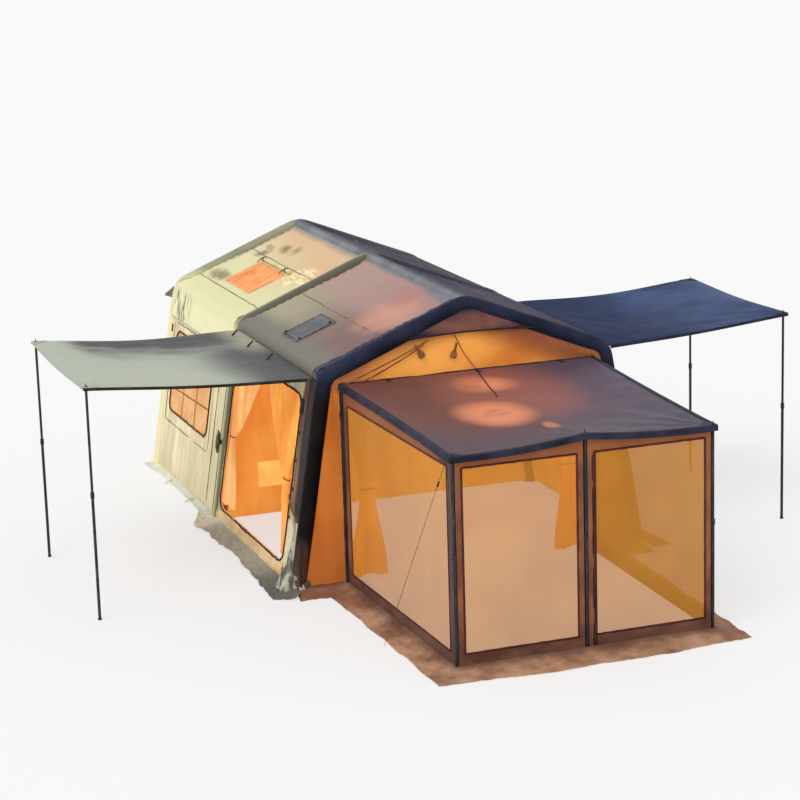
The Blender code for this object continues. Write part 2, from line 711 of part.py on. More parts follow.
def build_curtains():
    """Curtains that meet at the rail and are tied back just inside their openings."""
    depth = -WALL_LIFT + FABRIC / 2 + GAP + CURTAIN_THICKNESS / 2
    front_post = DOOR_FRONT_POST - CURTAIN_SIDE
    rear_post = FRONT_BAY - DOOR_REAR_POST + CURTAIN_SIDE / 2
    front_top_width = rear_post - front_post - REAR_DOOR_TOP_WIDTH - CURTAIN_MEETING
    door_top = DOOR_HEAD + CURTAIN_HEAD
    front = curtain_outline(door_top, CURTAIN_FOOT, front_top_width, FRONT_DOOR_FOOT_WIDTH,
                            FRONT_DOOR_TIE_FROM, FRONT_DOOR_TIE_WIDTH)
    rear = curtain_outline(door_top, CURTAIN_FOOT, REAR_DOOR_TOP_WIDTH, REAR_DOOR_FOOT_WIDTH,
                           REAR_DOOR_TIE_FROM, REAR_DOOR_TIE_WIDTH)
    loops = {"front": [(front_post + x, z) for x, z in front],
             "rear": [(rear_post - x, z) for x, z in rear]}
    for name, loop in loops.items():
        mesh = plate_mesh([loop], CURTAIN_THICKNESS, wall_frame(depth))
        add_object("door_curtain_" + name, mesh, ORANGE)
    y = -WALL_LIFT + FABRIC / 2 + GAP + CURTAIN_THICKNESS / 2
    post = DOORWAY_HALF_WIDTH + CURTAIN_SIDE
    outline = curtain_outline(DOORWAY_HEAD + CURTAIN_HEAD, CURTAIN_FOOT / 4,
                              post - CURTAIN_MEETING / 2, DOORWAY_FOOT_WIDTH,
                              DOORWAY_TIE_FROM, DOORWAY_TIE_WIDTH)
    for side, way in (("left", 1), ("right", -1)):
        loop = [(way * (x - post), z) for x, z in outline]
        mesh = plate_mesh([loop], CURTAIN_THICKNESS, frame_matrix((0, y, 0), (1, 0, 0), (0, 0, 1)))
        add_object("front_curtain_" + side, mesh, ORANGE)


def end_wall_outline():
    """The arch's centre line, cut off level just above the ground."""
    points = [(x, z) for x, y, z in arch_points(0.0)]
    low = WALL_FOOT * math.tan(LEAN)
    points[0] = (points[0][0] + low, WALL_FOOT)
    points[-1] = (points[-1][0] - low, WALL_FOOT)
    return points


def build_end_walls(cutters):
    outline = end_wall_outline()
    upright = (0, 0, 1)
    door = [(-DOORWAY_HALF_WIDTH, WALL_FOOT - 0.1), (DOORWAY_HALF_WIDTH, WALL_FOOT - 0.1),
            (DOORWAY_HALF_WIDTH, DOORWAY_HEAD), (-DOORWAY_HALF_WIDTH, DOORWAY_HEAD)]
    places = {"wall_front": ("front", -WALL_LIFT), "partition": ("middle", -PARTITION_LIFT),
              "wall_rear": ("rear", WALL_LIFT)}
    for name, (arch, offset) in places.items():
        frame = frame_matrix((0, ARCH_AT[arch] + offset, 0), (1, 0, 0), upright)
        wall = add_object(name, plate_mesh([outline], FABRIC, frame), ORANGE)
        if name == "partition":
            cut(wall, cutters["ridge"], cutters["eave_left"], cutters["eave_right"])
        cut(wall, cutters[arch])
        if name == "wall_front":
            cut(wall, add_cutter("doorway", plate_mesh([door], CUT_DEPTH, frame)))


# The porch roof's back edge lies against the front wall
PORCH_BACK = -WALL_LIFT - FABRIC / 2 - GAP
PORCH_RUN = PORCH_LENGTH + PORCH_EAVE + PORCH_BACK
POLE_CLEAR = COLLAR_RADIUS + GAP
PORCH_REAR_POLE_Y = PORCH_BACK - COLLAR_RADIUS
TOP_SEAT = (UPPER_TUBE_RADIUS + FABRIC / 2 + 2 * GAP) * 1.02


def porch_height(x, y):
    """Height of the porch roof's middle surface, slung between its poles."""
    t = (PORCH_BACK - y) / PORCH_RUN
    across = min(1.0, abs(x) / PORCH_FRONT_HALF_WIDTH)
    front = PORCH_CENTRE_HEIGHT + (PORCH_CORNER_HEIGHT - PORCH_CENTRE_HEIGHT) * across
    front -= PORCH_EDGE_SAG * 4 * across * (1 - across)
    height = PORCH_REAR_HEIGHT + (front - PORCH_REAR_HEIGHT) * t
    return height - PORCH_SAG * 4 * t * (1 - t) * (1 - across ** 2)


def porch_edge(y):
    """Half the porch roof's width at y; its free edges curve in a little."""
    t = (PORCH_BACK - y) / PORCH_RUN
    half = PORCH_REAR_HALF_WIDTH + (PORCH_FRONT_HALF_WIDTH - PORCH_REAR_HALF_WIDTH) * t + PORCH_EAVE
    return half - PORCH_EDGE_CURVE * 4 * t * (1 - t)


def porch_grid():
    """Rows of points over the porch roof, each row running from left to right."""
    grid = []
    for j in range(PORCH_ROWS + 1):
        y = PORCH_BACK - PORCH_RUN * j / PORCH_ROWS
        half = porch_edge(y)
        xs = [half * (2 * i / PORCH_COLUMNS - 1) for i in range(PORCH_COLUMNS + 1)]
        grid.append([(x, y, porch_height(x, y)) for x in xs])
    return grid


def build_porch_roof(poles):
    """A sagging sheet whose side and front edges turn down into a hem."""
    grid = porch_grid()
    grid.append([(x, y - SMALL, z - PORCH_HEM) for x, y, z in grid[-1]])
    for j, row in enumerate(grid):
        (left_x, left_y, left_z), (right_x, right_y, right_z) = row[0], row[-1]
        drop = PORCH_HEM if j < PORCH_ROWS + 1 else SMALL
        row.insert(0, (left_x - SMALL, left_y, left_z - drop))
        row.append((right_x + SMALL, right_y, right_z - drop))
    roof = thicken(add_object("porch_roof", grid_mesh(grid), MAUVE), FABRIC)
    for name, (x, y) in poles.items():
        z = porch_height(x, y)
        hole = cylinder_mesh(SPIKE_RADIUS + 2 * GAP, (x, y, z - CUT_DEPTH), (x, y, z + CUT_DEPTH),
                             POLE_STEPS)
        cut(roof, add_cutter("eyelet_" + name, hole))


def porch_top_cutter():
    """Everything above the underside of the porch roof, less the gap."""
    drop = FABRIC / 2 + 2 * GAP
    rows = [[(x, y, z - drop) for x, y, z in row] for row in porch_grid()]
    rows.append([(x, y - 0.2, z) for x, y, z in rows[-1]])
    for row in rows:
        row.insert(0, (row[0][0] - 0.2, row[0][1], row[0][2]))
        row.append((row[-1][0] + 0.2, row[-1][1], row[-1][2]))
    return add_cutter("porch_top", grid_mesh(rows, height=0.5))


def porch_pole_places():
    front = -PORCH_LENGTH
    return {
        "front_left": (-PORCH_FRONT_HALF_WIDTH, front),
        "front_centre": (0.0, front),
        "front_right": (PORCH_FRONT_HALF_WIDTH, front),
        "rear_left": (-PORCH_REAR_HALF_WIDTH, PORCH_REAR_POLE_Y),
        "rear_right": (PORCH_REAR_HALF_WIDTH, PORCH_REAR_POLE_Y),
    }


def add_porch_wall(suffix, start, end, borders, top):
    """A wall between two poles: a cloth border round a mesh panel; borders at start and end."""
    run = Vector(end) - Vector(start)
    frame = frame_matrix((*start, 0), (*run, 0), (0, 0, 1))
    over = PORCH_REAR_HEIGHT + PORCH_HEM
    outer = [(POLE_CLEAR, WALL_FOOT), (run.length - POLE_CLEAR, WALL_FOOT),
             (run.length - POLE_CLEAR, over), (POLE_CLEAR, over)]
    x0, x1 = borders[0], run.length - borders[1]
    hole = [(x0, MUD_BAND), (x1, MUD_BAND), (x1, MESH_HEAD), (x0, MESH_HEAD)]
    pane = [(x0 + GAP, MUD_BAND + GAP), (x1 - GAP, MUD_BAND + GAP),
            (x1 - GAP, MESH_HEAD - GAP), (x0 + GAP, MESH_HEAD - GAP)]
    cut(add_object("porch_wall_" + suffix, plate_mesh([outer, hole], FABRIC, frame), BROWN), top)
    add_object("porch_mesh_" + suffix, plate_mesh([pane], MESH_THICKNESS, frame), MESH)


def build_porch_walls(poles):
    top = porch_top_cutter()
    front = (PORCH_WALL_BORDER, PORCH_WALL_BORDER)
    side = (PORCH_SIDE_BORDER, PORCH_SIDE_BORDER)
    add_porch_wall("front_left", poles["front_left"], poles["front_centre"], front, top)
    add_porch_wall("front_right", poles["front_centre"], poles["front_right"], front, top)
    add_porch_wall("side_left", poles["rear_left"], poles["front_left"], side, top)
    add_porch_wall("side_right", poles["front_right"], poles["rear_right"], side, top)


def pole_head():
    """Half section of a pole's round head and spike, from the tube's side to the axis."""
    last = math.acos(SPIKE_RADIUS / UPPER_TUBE_RADIUS)
    arc = [(UPPER_TUBE_RADIUS * math.cos(last * i / 4), UPPER_TUBE_RADIUS * math.sin(last * i / 4))
           for i in range(5)]
    return arc + [(SPIKE_RADIUS, SPIKE_LENGTH - 2 * SPIKE_RADIUS), (0.0, SPIKE_LENGTH)]


def add_upper_tube(name, seat, start):
    """The thinner tube, whose origin is the middle of its round head."""
    low = start - seat.z
    inner_top = -2 * UPPER_TUBE_RADIUS
    profile = [(0.0, inner_top), (TUBE_BORE, inner_top), (TUBE_BORE, low), (UPPER_TUBE_RADIUS, low)]
    return add_turned(name, profile + pole_head(), BLACK_METAL, seat)


def add_lower_tube(name, x, y, length):
    """The thicker tube, with a foot below and a clamping collar above."""
    bore = UPPER_TUBE_RADIUS + GAP
    collar = length - COLLAR_HEIGHT
    profile = [(0.0, 0.0), (COLLAR_RADIUS, 0.0), (COLLAR_RADIUS, FOOT_HEIGHT / 2),
               (LOWER_TUBE_RADIUS, 2 * FOOT_HEIGHT), (LOWER_TUBE_RADIUS, collar - 0.004),
               (COLLAR_RADIUS, collar), (COLLAR_RADIUS, length), (bore, length),
               (bore, FOOT_HEIGHT), (0.0, FOOT_HEIGHT)]
    add_turned(name, profile, BLACK_METAL, (x, y, 0.0))


def add_rear_pole(name, seat):
    """A one-piece pole that stands against the cabin's front wall."""
    foot = [(0.0, 0.0), (COLLAR_RADIUS, 0.0), (COLLAR_RADIUS, FOOT_HEIGHT / 2),
            (UPPER_TUBE_RADIUS, 2 * FOOT_HEIGHT)]
    head = [(radius, height + seat.z) for radius, height in pole_head()]
    add_turned(name, foot + head, BLACK_METAL, (seat.x, seat.y, 0.0))


def build_porch_poles(poles):
    for name, (x, y) in poles.items():
        seat = Vector((x, y, porch_height(x, y) - TOP_SEAT))
        if name.startswith("rear"):
            add_rear_pole("porch_pole_" + name, seat)
        else:
            add_upper_tube(f"porch_pole_{name}_upper", seat, PORCH_UPPER_START)
            add_lower_tube(f"porch_pole_{name}_lower", x, y, PORCH_LOWER_LENGTH)


def awning_hinge():
    """The left awning's hinge line, as (x, z).

    It is off the roof's valance by the gap, and by what the awning's square end swings
    inwards when the awning is let down.
    """
    out = COVER + FABRIC / 2 + GAP + FABRIC / 2 * math.sin(AWNING_FALL + LEAN / 2)
    return (EAVE_BEAM[0] + LEG_OUT[0] * out - LEG_UP[0] * AWNING_HINGE_DROP,
            EAVE_BEAM[1] + LEG_OUT[1] * out - LEG_UP[1] * AWNING_HINGE_DROP)


def bump(t):
    """Rises from 0 to 1 and falls back, level at both ends."""
    return (4 * t * (1 - t)) ** 2


def awning_point(side, s, w):
    """A point of an awning in left-hand axes: s runs outwards, w from front to back."""
    x0, z0 = awning_hinge()
    x1 = -AWNING_REACH[side] - AWNING_CORNER
    run = x0 - x1
    rise = (AWNING_POLE_HEIGHT[side] - z0) * run / (run - AWNING_CORNER)
    front = AWNING_INNER_FRONT + (AWNING_FRONT[side] - AWNING_CORNER - AWNING_INNER_FRONT) * s
    back = AWNING_INNER_BACK + (AWNING_BACK[side] + AWNING_CORNER - AWNING_INNER_BACK) * s
    front += AWNING_EDGE_CURVE * bump(s)
    back -= AWNING_EDGE_CURVE * bump(s)
    inner = AWNING_SAG_AT_FREE_EDGES + (1 - AWNING_SAG_AT_FREE_EDGES) * bump(w)
    sag = AWNING_SAG * (bump(s) * inner + AWNING_SAG_BETWEEN_POLES * s * bump(w))
    return Vector((x0 - run * s, front + (back - front) * w, z0 + rise * s - sag))


def awning_steps(side):
    """Steps along and across an awning, with a narrow last step for the corner patches."""
    run = AWNING_REACH[side] + AWNING_CORNER + awning_hinge()[0]
    width = AWNING_BACK[side] - AWNING_FRONT[side] + 2 * AWNING_CORNER
    patch_s = 2 * AWNING_CORNER / run
    patch_w = 2 * AWNING_CORNER / width
    along = [(1 - patch_s) * i / AWNING_CELLS for i in range(AWNING_CELLS + 1)] + [1.0]
    across = [patch_w + (1 - 2 * patch_w) * i / AWNING_CELLS for i in range(AWNING_CELLS + 1)]
    return along, [0.0] + across + [1.0]


def awning_corner(side, end):
    """The middle and the upward normal of a corner patch, in tent axes."""
    along, across = awning_steps(side)
    first, second = (across[0], across[1]) if end == "front" else (across[-2], across[-1])
    a = awning_point(side, along[-2], first)
    b = awning_point(side, along[-1], first)
    c = awning_point(side, along[-2], second)
    d = awning_point(side, along[-1], second)
    centre = (a + b + c + d) / 4
    normal = (d - a).cross(b - c).normalized()
    if normal.z < 0:
        normal = -normal
    if side == "right":
        centre.x, normal.x = -centre.x, -normal.x
    return centre, normal


def awning_pole_seat(side, end):
    """The middle of a pole's round head, just under its corner patch."""
    centre, normal = awning_corner(side, end)
    return centre - normal * (UPPER_TUBE_RADIUS + FABRIC / 2 + 2 * GAP)


def slot_mesh(centre):
    """A lengthened eyelet, so that the spike can tilt in it."""
    half = SLOT_LENGTH - SPIKE_RADIUS
    reach = SPIKE_RADIUS + 2 * GAP
    loop = rounded_rectangle(-half - reach, -reach, half + reach, reach, reach - SMALL)
    return plate_mesh([loop], CUT_DEPTH, Matrix.Translation(centre))


def build_awnings():
    for side in SIDES:
        along, across = awning_steps(side)
        rows = [[awning_point(side, s, w) for w in across] for s in along]
        mesh = grid_mesh(rows)
        x, z = awning_hinge()
        if side == "right":
            mirrored(mesh)
            x = -x
        middle = (AWNING_INNER_FRONT + AWNING_INNER_BACK) / 2
        material = GREEN_GREY if side == "left" else SLATE
        sheet = add_object("awning_" + side, mesh, material, origin=(x, middle, z))
        thicken(sheet, FABRIC)
        for end in ("front", "back"):
            centre, normal = awning_corner(side, end)
            seat = awning_pole_seat(side, end)
            cut(sheet, add_cutter(f"eyelet_{side}_{end}", slot_mesh(centre)))
            add_upper_tube(f"awning_pole_{side}_{end}_upper", seat, AWNING_UPPER_START)
            add_lower_tube(f"awning_pole_{side}_{end}_lower", seat.x, seat.y, AWNING_LOWER_LENGTH)


def skirt_rows(path, reach):
    """Rows across a ground skirt: the outward side is to the left of the path."""
    sections = ((0.0, SKIRT_RISE), (SKIRT_BEND, SKIRT_RISE / 4), (1.0, SKIRT_THICKNESS / 2))
    normals = []
    for a, b in zip(path, path[1:]):
        step = (Vector(b) - Vector(a)).normalized()
        normals.append(Vector((-step.y, step.x)))
    rows = []
    for i, point in enumerate(path):
        before = normals[max(i - 1, 0)]
        after = normals[min(i, len(normals) - 1)]
        mitre = (before + after) / (1 + before.dot(after))
        rows.append([(point[0] + mitre.x * reach * t, point[1] + mitre.y * reach * t, z)
                     for t, z in sections])
    return rows


def build_skirts(cutters, poles):
    """Cloth bands that lie on the ground round the cabin and the porch."""
    seat = FABRIC / 2 + GAP + SKIRT_THICKNESS / 2
    side_x = (wall_frame(-WALL_LIFT - seat) @ Vector((0, SKIRT_RISE / math.cos(LEAN), 0))).x
    back_y = ARCH_AT["rear"] + WALL_LIFT + seat
    cabin = [(side_x, SKIRT_START), (side_x, ARCH_AT["middle"]), (side_x, back_y), (0.0, back_y),
             (-side_x, back_y), (-side_x, ARCH_AT["middle"]), (-side_x, SKIRT_START)]
    skirt = add_object("skirt_cabin", grid_mesh(skirt_rows(cabin, SKIRT_REACH)), GREY)
    thicken(skirt, SKIRT_THICKNESS)
    cut(skirt, *[cutters[name] for name in ARCH_AT])
    front_y = -WALL_LIFT - seat
    ahead_y = -PORCH_LENGTH - seat
    inner = PORCH_REAR_HALF_WIDTH + seat
    outer = PORCH_FRONT_HALF_WIDTH + seat
    half = [(BASE_HALF_WIDTH - FRONT_SKIRT_INSET, front_y), (inner, front_y), (outer, ahead_y), (0.0, ahead_y)]
    porch = half + [(-x, y) for x, y in reversed(half[:-1])]
    skirt = add_object("skirt_porch", grid_mesh(skirt_rows(porch, PORCH_SKIRT_REACH)), BROWN)
    thicken(skirt, SKIRT_THICKNESS)
    for name, (x, y) in poles.items():
        post = cylinder_mesh(POLE_CLEAR, (x, y, -0.1), (x, y, 0.4), POLE_STEPS)
        cut(skirt, add_cutter("foot_" + name, post))
    cut(skirt, cutters["front"])


def guy_ends():
    """Where the guy line leaves the porch roof's hem and where it meets the ground."""
    y = -PORCH_LENGTH + 2 * PORCH_EAVE
    x = -porch_edge(y)
    top = Vector((x, y, porch_height(x, y) - PORCH_HEM - GAP - GUY_RADIUS / 2))
    ground = Vector((-PORCH_FRONT_HALF_WIDTH - GUY_GROUND_OUT, -PORCH_LENGTH + GUY_GROUND_BACK,
                     2 * GUY_RADIUS))
    return top, ground


def circle(radius, steps=POLE_STEPS):
    return [(radius * math.cos(math.tau * i / steps), radius * math.sin(math.tau * i / steps))
            for i in range(steps)]


def build_guy_line():
    top, ground = guy_ends()
    points = [top.lerp(ground, i / GUY_POINTS) for i in range(GUY_POINTS + 1)]
    add_object("guy_line", tube_mesh(points, GUY_RADIUS, 2), CORD)
    down = (ground - top).normalized()
    across = down.orthogonal().normalized()
    place = top.lerp(ground, GUY_SLIDER_AT)
    frame = frame_matrix(place, across, down.cross(across))
    loops = [circle(GUY_SLIDER_RADIUS), circle(GUY_RADIUS + GAP + SMALL)]
    mesh = plate_mesh(loops, GUY_SLIDER_LENGTH, frame)
    add_object("guy_line_slider", mesh, BLACK_PLASTIC, origin=place)


def valve_point(distance):
    """A point on the valve's axis, at a distance from the middle arch's left leg centre."""
    x = BASE_CENTRE[0] + math.tan(LEAN) * VALVE_HEIGHT
    return Vector((x + LEG_OUT[0] * distance, ARCH_AT["middle"], VALVE_HEIGHT + LEG_OUT[1] * distance))


def build_valve(cutters):
    rim = BEAM_RADIUS + VALVE_DEPTH
    body = cylinder_mesh(VALVE_RADIUS, valve_point(BEAM_RADIUS / 2), valve_point(rim), 16)
    cut(add_object("inflation_valve", body, BLACK_PLASTIC), cutters["middle"])
    near = valve_point(rim + GAP)
    cap = cylinder_mesh(VALVE_CAP_RADIUS, near, valve_point(rim + GAP + VALVE_CAP_DEPTH), 16)
    add_object("inflation_valve_cap", cap, BLACK_PLASTIC, origin=near)


def build_zip_slider():
    """The pull of the zip that closes the right front panel beside the centre pole."""
    place = (PORCH_WALL_BORDER, -PORCH_LENGTH - FABRIC / 2 - GAP - ZIP_DEPTH / 2, ZIP_HEIGHT)
    mesh = box_mesh((ZIP_WIDTH, ZIP_DEPTH, ZIP_LENGTH), place)
    slider = add_object("porch_zip_slider", mesh, BLACK_METAL, origin=place)
    bevel = slider.modifiers.new("round_edges", "BEVEL")
    bevel.width = ZIP_DEPTH / 4
    bevel.segments = 2


def build_tent():
    cutters = build_cutters()
    poles = porch_pole_places()
    build_air_frame(cutters)
    build_roof(cutters)
    build_side_walls(cutters)
    build_curtains()
    build_end_walls(cutters)
    build_porch_roof(poles)
    build_porch_walls(poles)
    build_porch_poles(poles)
    build_awnings()
    build_skirts(cutters, poles)
    build_guy_line()
    build_valve(cutters)
    build_zip_slider()
    bpy.context.view_layer.update()


build_tent()
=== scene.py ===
# %% [markdown]
# # An inflatable cabin tent with a mesh porch and two awnings
#
# The frame holds the tent's solids. This lesson dresses them: sleeves, sheets with their
# folds, curtains, mesh panels and trim. Every sheet is a function of two parameters, worked
# out with numpy, because cloth under tension is a smooth surface with a few clear rules.

# %% The frame and the libraries
import math

import bmesh
import bpy
import numpy as np
from mathutils import Matrix, Vector


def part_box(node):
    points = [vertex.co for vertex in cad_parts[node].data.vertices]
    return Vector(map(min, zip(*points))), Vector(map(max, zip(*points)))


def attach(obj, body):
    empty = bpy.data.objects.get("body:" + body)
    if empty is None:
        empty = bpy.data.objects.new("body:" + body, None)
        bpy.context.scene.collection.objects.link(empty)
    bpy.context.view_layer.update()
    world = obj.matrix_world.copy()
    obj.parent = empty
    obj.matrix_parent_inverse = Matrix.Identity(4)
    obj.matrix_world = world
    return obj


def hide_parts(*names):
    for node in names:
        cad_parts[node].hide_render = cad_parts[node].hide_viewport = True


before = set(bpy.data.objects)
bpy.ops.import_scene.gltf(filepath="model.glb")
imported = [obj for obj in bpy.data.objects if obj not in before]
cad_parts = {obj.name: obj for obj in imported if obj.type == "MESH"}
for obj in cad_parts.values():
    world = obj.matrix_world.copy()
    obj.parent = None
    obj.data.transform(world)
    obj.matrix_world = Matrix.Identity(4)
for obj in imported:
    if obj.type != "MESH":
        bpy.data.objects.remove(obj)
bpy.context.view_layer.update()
TURN = 2 * math.pi
print("solids:", len(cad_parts))

# %% [markdown]
# ## The tent's own axes
#
# On the real tent the front arch is where everything starts, so lengths are counted from it:
# x to the right of the ridge line, y back from the front arch, z up. The frame is centred on
# the whole object, so one origin turns tent axes into the frame's axes.

# %% Driving dimensions
front_low, front_high = (np.array(corner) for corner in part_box("air_arch_front"))
rear_low, rear_high = (np.array(corner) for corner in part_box("air_arch_rear"))
ORIGIN = np.array([front_low[0] + front_high[0], front_low[1] + front_high[1], 0.0]) / 2
BEAM_RADIUS = (front_high[1] - front_low[1]) / 2
BASE_HALF_WIDTH = (front_high[0] - front_low[0]) / 2
CABIN_LENGTH = (rear_low[1] + rear_high[1]) / 2 - ORIGIN[1]
FRONT_BAY = 2.54
PORCH_LENGTH = 2.564
EAVE_HALF_WIDTH = 1.4135
EAVE_HEIGHT = 2.0
RIDGE_HEIGHT = 2.566
EAVE_BEND = 0.17
RIDGE_BEND = 0.20
CLOTH = 0.003
THIN_CLOTH = 0.002
TAPE = 0.001
ARCH_AT = {"front": 0.0, "middle": FRONT_BAY, "rear": CABIN_LENGTH}
BAYS = {"front": (0.0, FRONT_BAY), "rear": (FRONT_BAY, CABIN_LENGTH)}
SIDES = {"left": 1.0, "right": -1.0}
LEAN = math.atan2(BASE_HALF_WIDTH - EAVE_HALF_WIDTH, EAVE_HEIGHT)
SLOPE = math.atan2(RIDGE_HEIGHT - EAVE_HEIGHT, EAVE_HALF_WIDTH)
print("origin", ORIGIN.round(4), "cabin length", round(float(CABIN_LENGTH), 3))

# %% [markdown]
# ## The camera
#
# A catalogue shot of something this long is taken from far off with a long lens, which keeps
# the upright lines upright. The place and the turn below were fitted to the tent's corners.

# %% Camera
def add_object(name, data):
    """A new object that holds the data, put into the scene."""
    made = bpy.data.objects.new(name, data)
    bpy.context.scene.collection.objects.link(made)
    return made


LENS_MM = 109.55
SENSOR_MM = 36.0
CAMERA_AT = np.array([-7.8081, -19.8920, 6.7267])
CAMERA_YAW = 0.3456
CAMERA_PITCH = 0.2354
CAMERA_ROLL = -0.0301


def make_camera():
    """The view's axes: forward from yaw and pitch, then right and up turned by the roll."""
    forward = Vector((math.sin(CAMERA_YAW) * math.cos(CAMERA_PITCH),
                      math.cos(CAMERA_YAW) * math.cos(CAMERA_PITCH), -math.sin(CAMERA_PITCH)))
    level = forward.cross(Vector((0, 0, 1))).normalized()
    upright = level.cross(forward)
    right = level * math.cos(CAMERA_ROLL) + upright * math.sin(CAMERA_ROLL)
    up = upright * math.cos(CAMERA_ROLL) - level * math.sin(CAMERA_ROLL)
    data = bpy.data.cameras.new("photo_view")
    data.lens = LENS_MM
    data.sensor_width = SENSOR_MM
    data.clip_end = 500.0
    camera = add_object("photo_view", data)
    matrix = Matrix((right, up, -forward)).transposed().to_4x4()
    matrix.translation = Vector(CAMERA_AT + ORIGIN)
    camera.matrix_world = matrix
    bpy.context.scene.camera = camera
    return camera


camera = make_camera()
print("camera at", [round(v, 3) for v in camera.location])

# %% [markdown]
# ## Shader sums
#
# A material is a sum: a pattern here, a stain there, mixed by masks. Writing the sum in
# Python is easier to read than wiring nodes, so one small class wraps a socket, and an
# operator between two of them adds the Math node that does it.

# %% Screen colours
def srgb(colour):
    """A screen colour, three numbers up to 255, as the linear numbers that shaders take."""
    values = np.array(colour) / 255.0
    linear = np.where(values <= 0.04045, values / 12.92, ((values + 0.055) / 1.055) ** 2.4)
    return (*(float(v) for v in linear), 1.0)


print("a screen's middle grey is", round(srgb((128, 128, 128))[0], 3), "in a shader")

# %% A socket with operators
MIX_COLOUR = {"A": 6, "B": 7, "out": 2}


class Socket:
    """An output socket of a material, on which Python's operators add Math nodes."""

    def __init__(self, tree, out):
        self.tree, self.out = tree, out

    def node(self, kind, settings, inputs, out=0):
        """Any node: its settings first, then its sockets' values or links."""
        made = self.tree.nodes.new(kind)
        for name, value in settings.items():
            setattr(made, name, value)
        fill(made, inputs)
        return Socket(self.tree, made.outputs[out])

    def math(self, operation, *values):
        """A Math node on sockets or numbers."""
        return self.node("ShaderNodeMath", {"operation": operation}, dict(enumerate(values)))

    def __add__(self, other):
        return self.math("ADD", self, other)

    __radd__ = __add__

    def __mul__(self, other):
        return self.math("MULTIPLY", self, other)

    __rmul__ = __mul__

    def __sub__(self, other):
        return self.math("SUBTRACT", self, other)

    def __rsub__(self, other):
        return self.math("SUBTRACT", other, self)

    def __pow__(self, other):
        return self.math("POWER", self, other)

    def __abs__(self):
        return self.math("ABSOLUTE", self)

    def between(self, low, high):
        """0 below low, 1 above high, and an eased step between; low may be the larger."""
        if low < high:
            return self.ease(low, high, 0.0, 1.0)
        return self.ease(high, low, 1.0, 0.0)

    def ease(self, low, high, first, last):
        """An eased step from first at low to last at high."""
        return self.node("ShaderNodeMapRange", {"interpolation_type": "SMOOTHSTEP"},
                         {"Value": self, "From Min": low, "From Max": high,
                          "To Min": first, "To Max": last})

    def paint(self, under, over):
        """The colour under where this mask is 0, and over where it is 1."""
        under, over = (srgb(c) if isinstance(c, tuple) else c for c in (under, over))
        inputs = {0: self, MIX_COLOUR["A"]: under, MIX_COLOUR["B"]: over}
        return self.node("ShaderNodeMix", {"data_type": "RGBA"}, inputs, MIX_COLOUR["out"])

    def noise(self, scale, detail=3.0, roughness=0.55, stretch=(1.0, 1.0, 1.0), kind="FBM"):
        """Noise on this vector, stretched along its axes by the given factors."""
        scaled = self.node("ShaderNodeVectorMath", {"operation": "MULTIPLY"}, {0: self, 1: stretch})
        return self.node("ShaderNodeTexNoise", {"noise_type": kind},
                         {"Vector": scaled, "Scale": scale, "Detail": detail,
                          "Roughness": roughness})

    def wave(self, scale, direction):
        """Evenly spaced bands across this vector."""
        return self.node("ShaderNodeTexWave", {"wave_type": "BANDS", "bands_direction": direction},
                         {"Vector": self, "Scale": scale}, 1)

    def raised(self, height, strength):
        """A surface's direction, tilted by the slopes of a height in metres."""
        return self.node("ShaderNodeBump", {},
                         {"Height": height, "Strength": strength, "Distance": 1.0})

    def axes(self):
        """The three parts of this vector."""
        split = self.node("ShaderNodeSeparateXYZ", {}, {0: self})
        outputs = split.out.node.outputs
        return [Socket(self.tree, outputs[k]) for k in range(3)]


def fill(node, inputs):
    """Give each input of a node its plain value, or link it to the socket of a sum."""
    for name, value in inputs.items():
        if isinstance(value, Socket):
            value.tree.links.new(value.out, node.inputs[name])
        else:
            node.inputs[name].default_value = value


print("sockets of a colour mix:", MIX_COLOUR)


# %% A new material
def new_material(name):
    """A material with its Principled shader, the Object coordinates and the piece's UV map."""
    material = bpy.data.materials.new(name)
    material.use_nodes = True
    tree = material.node_tree
    shader = tree.nodes["Principled BSDF"]
    coordinates = tree.nodes.new("ShaderNodeTexCoord")
    place = Socket(tree, coordinates.outputs["Object"])
    woven = Socket(tree, coordinates.outputs["UV"])
    return material, shader, place, woven


print("materials so far:", len(bpy.data.materials))

# %% [markdown]
# ## Woven cloth
#
# The tent is polyester: a fine plain weave with a coating, so it is neither dull nor shiny.
# Close up one sees the threads; farther off, soft crumples and slow changes of tone, many of
# them painted light and shade, and a painted glow where the cloth lets light through. The weave
# follows the piece's UV map, which is laid in metres. The crumples and the tones follow the place.

# %% Cloth
THREADS_PER_METRE = 600.0
WEAVE_WAVE = TURN * THREADS_PER_METRE / 20.0
THREAD_HEIGHT = 0.00004
CREASE_HEIGHT = 0.006
GRAIN_HEIGHT = 0.0012
RIDGED = "RIDGED_MULTIFRACTAL"


def cloth_relief(place, woven, crumple, fine):
    """Height of the surface: threads both ways, small creases and wider crumples."""
    threads = woven.wave(WEAVE_WAVE, "X") + woven.wave(WEAVE_WAVE, "Y")
    creases = place.noise(9.0, 4.0, 0.6, kind=RIDGED)
    grain = place.noise(55.0, 3.0, 0.6)
    return (threads * (THREAD_HEIGHT * fine) + creases * (CREASE_HEIGHT * crumple)
            + grain * (GRAIN_HEIGHT * fine))


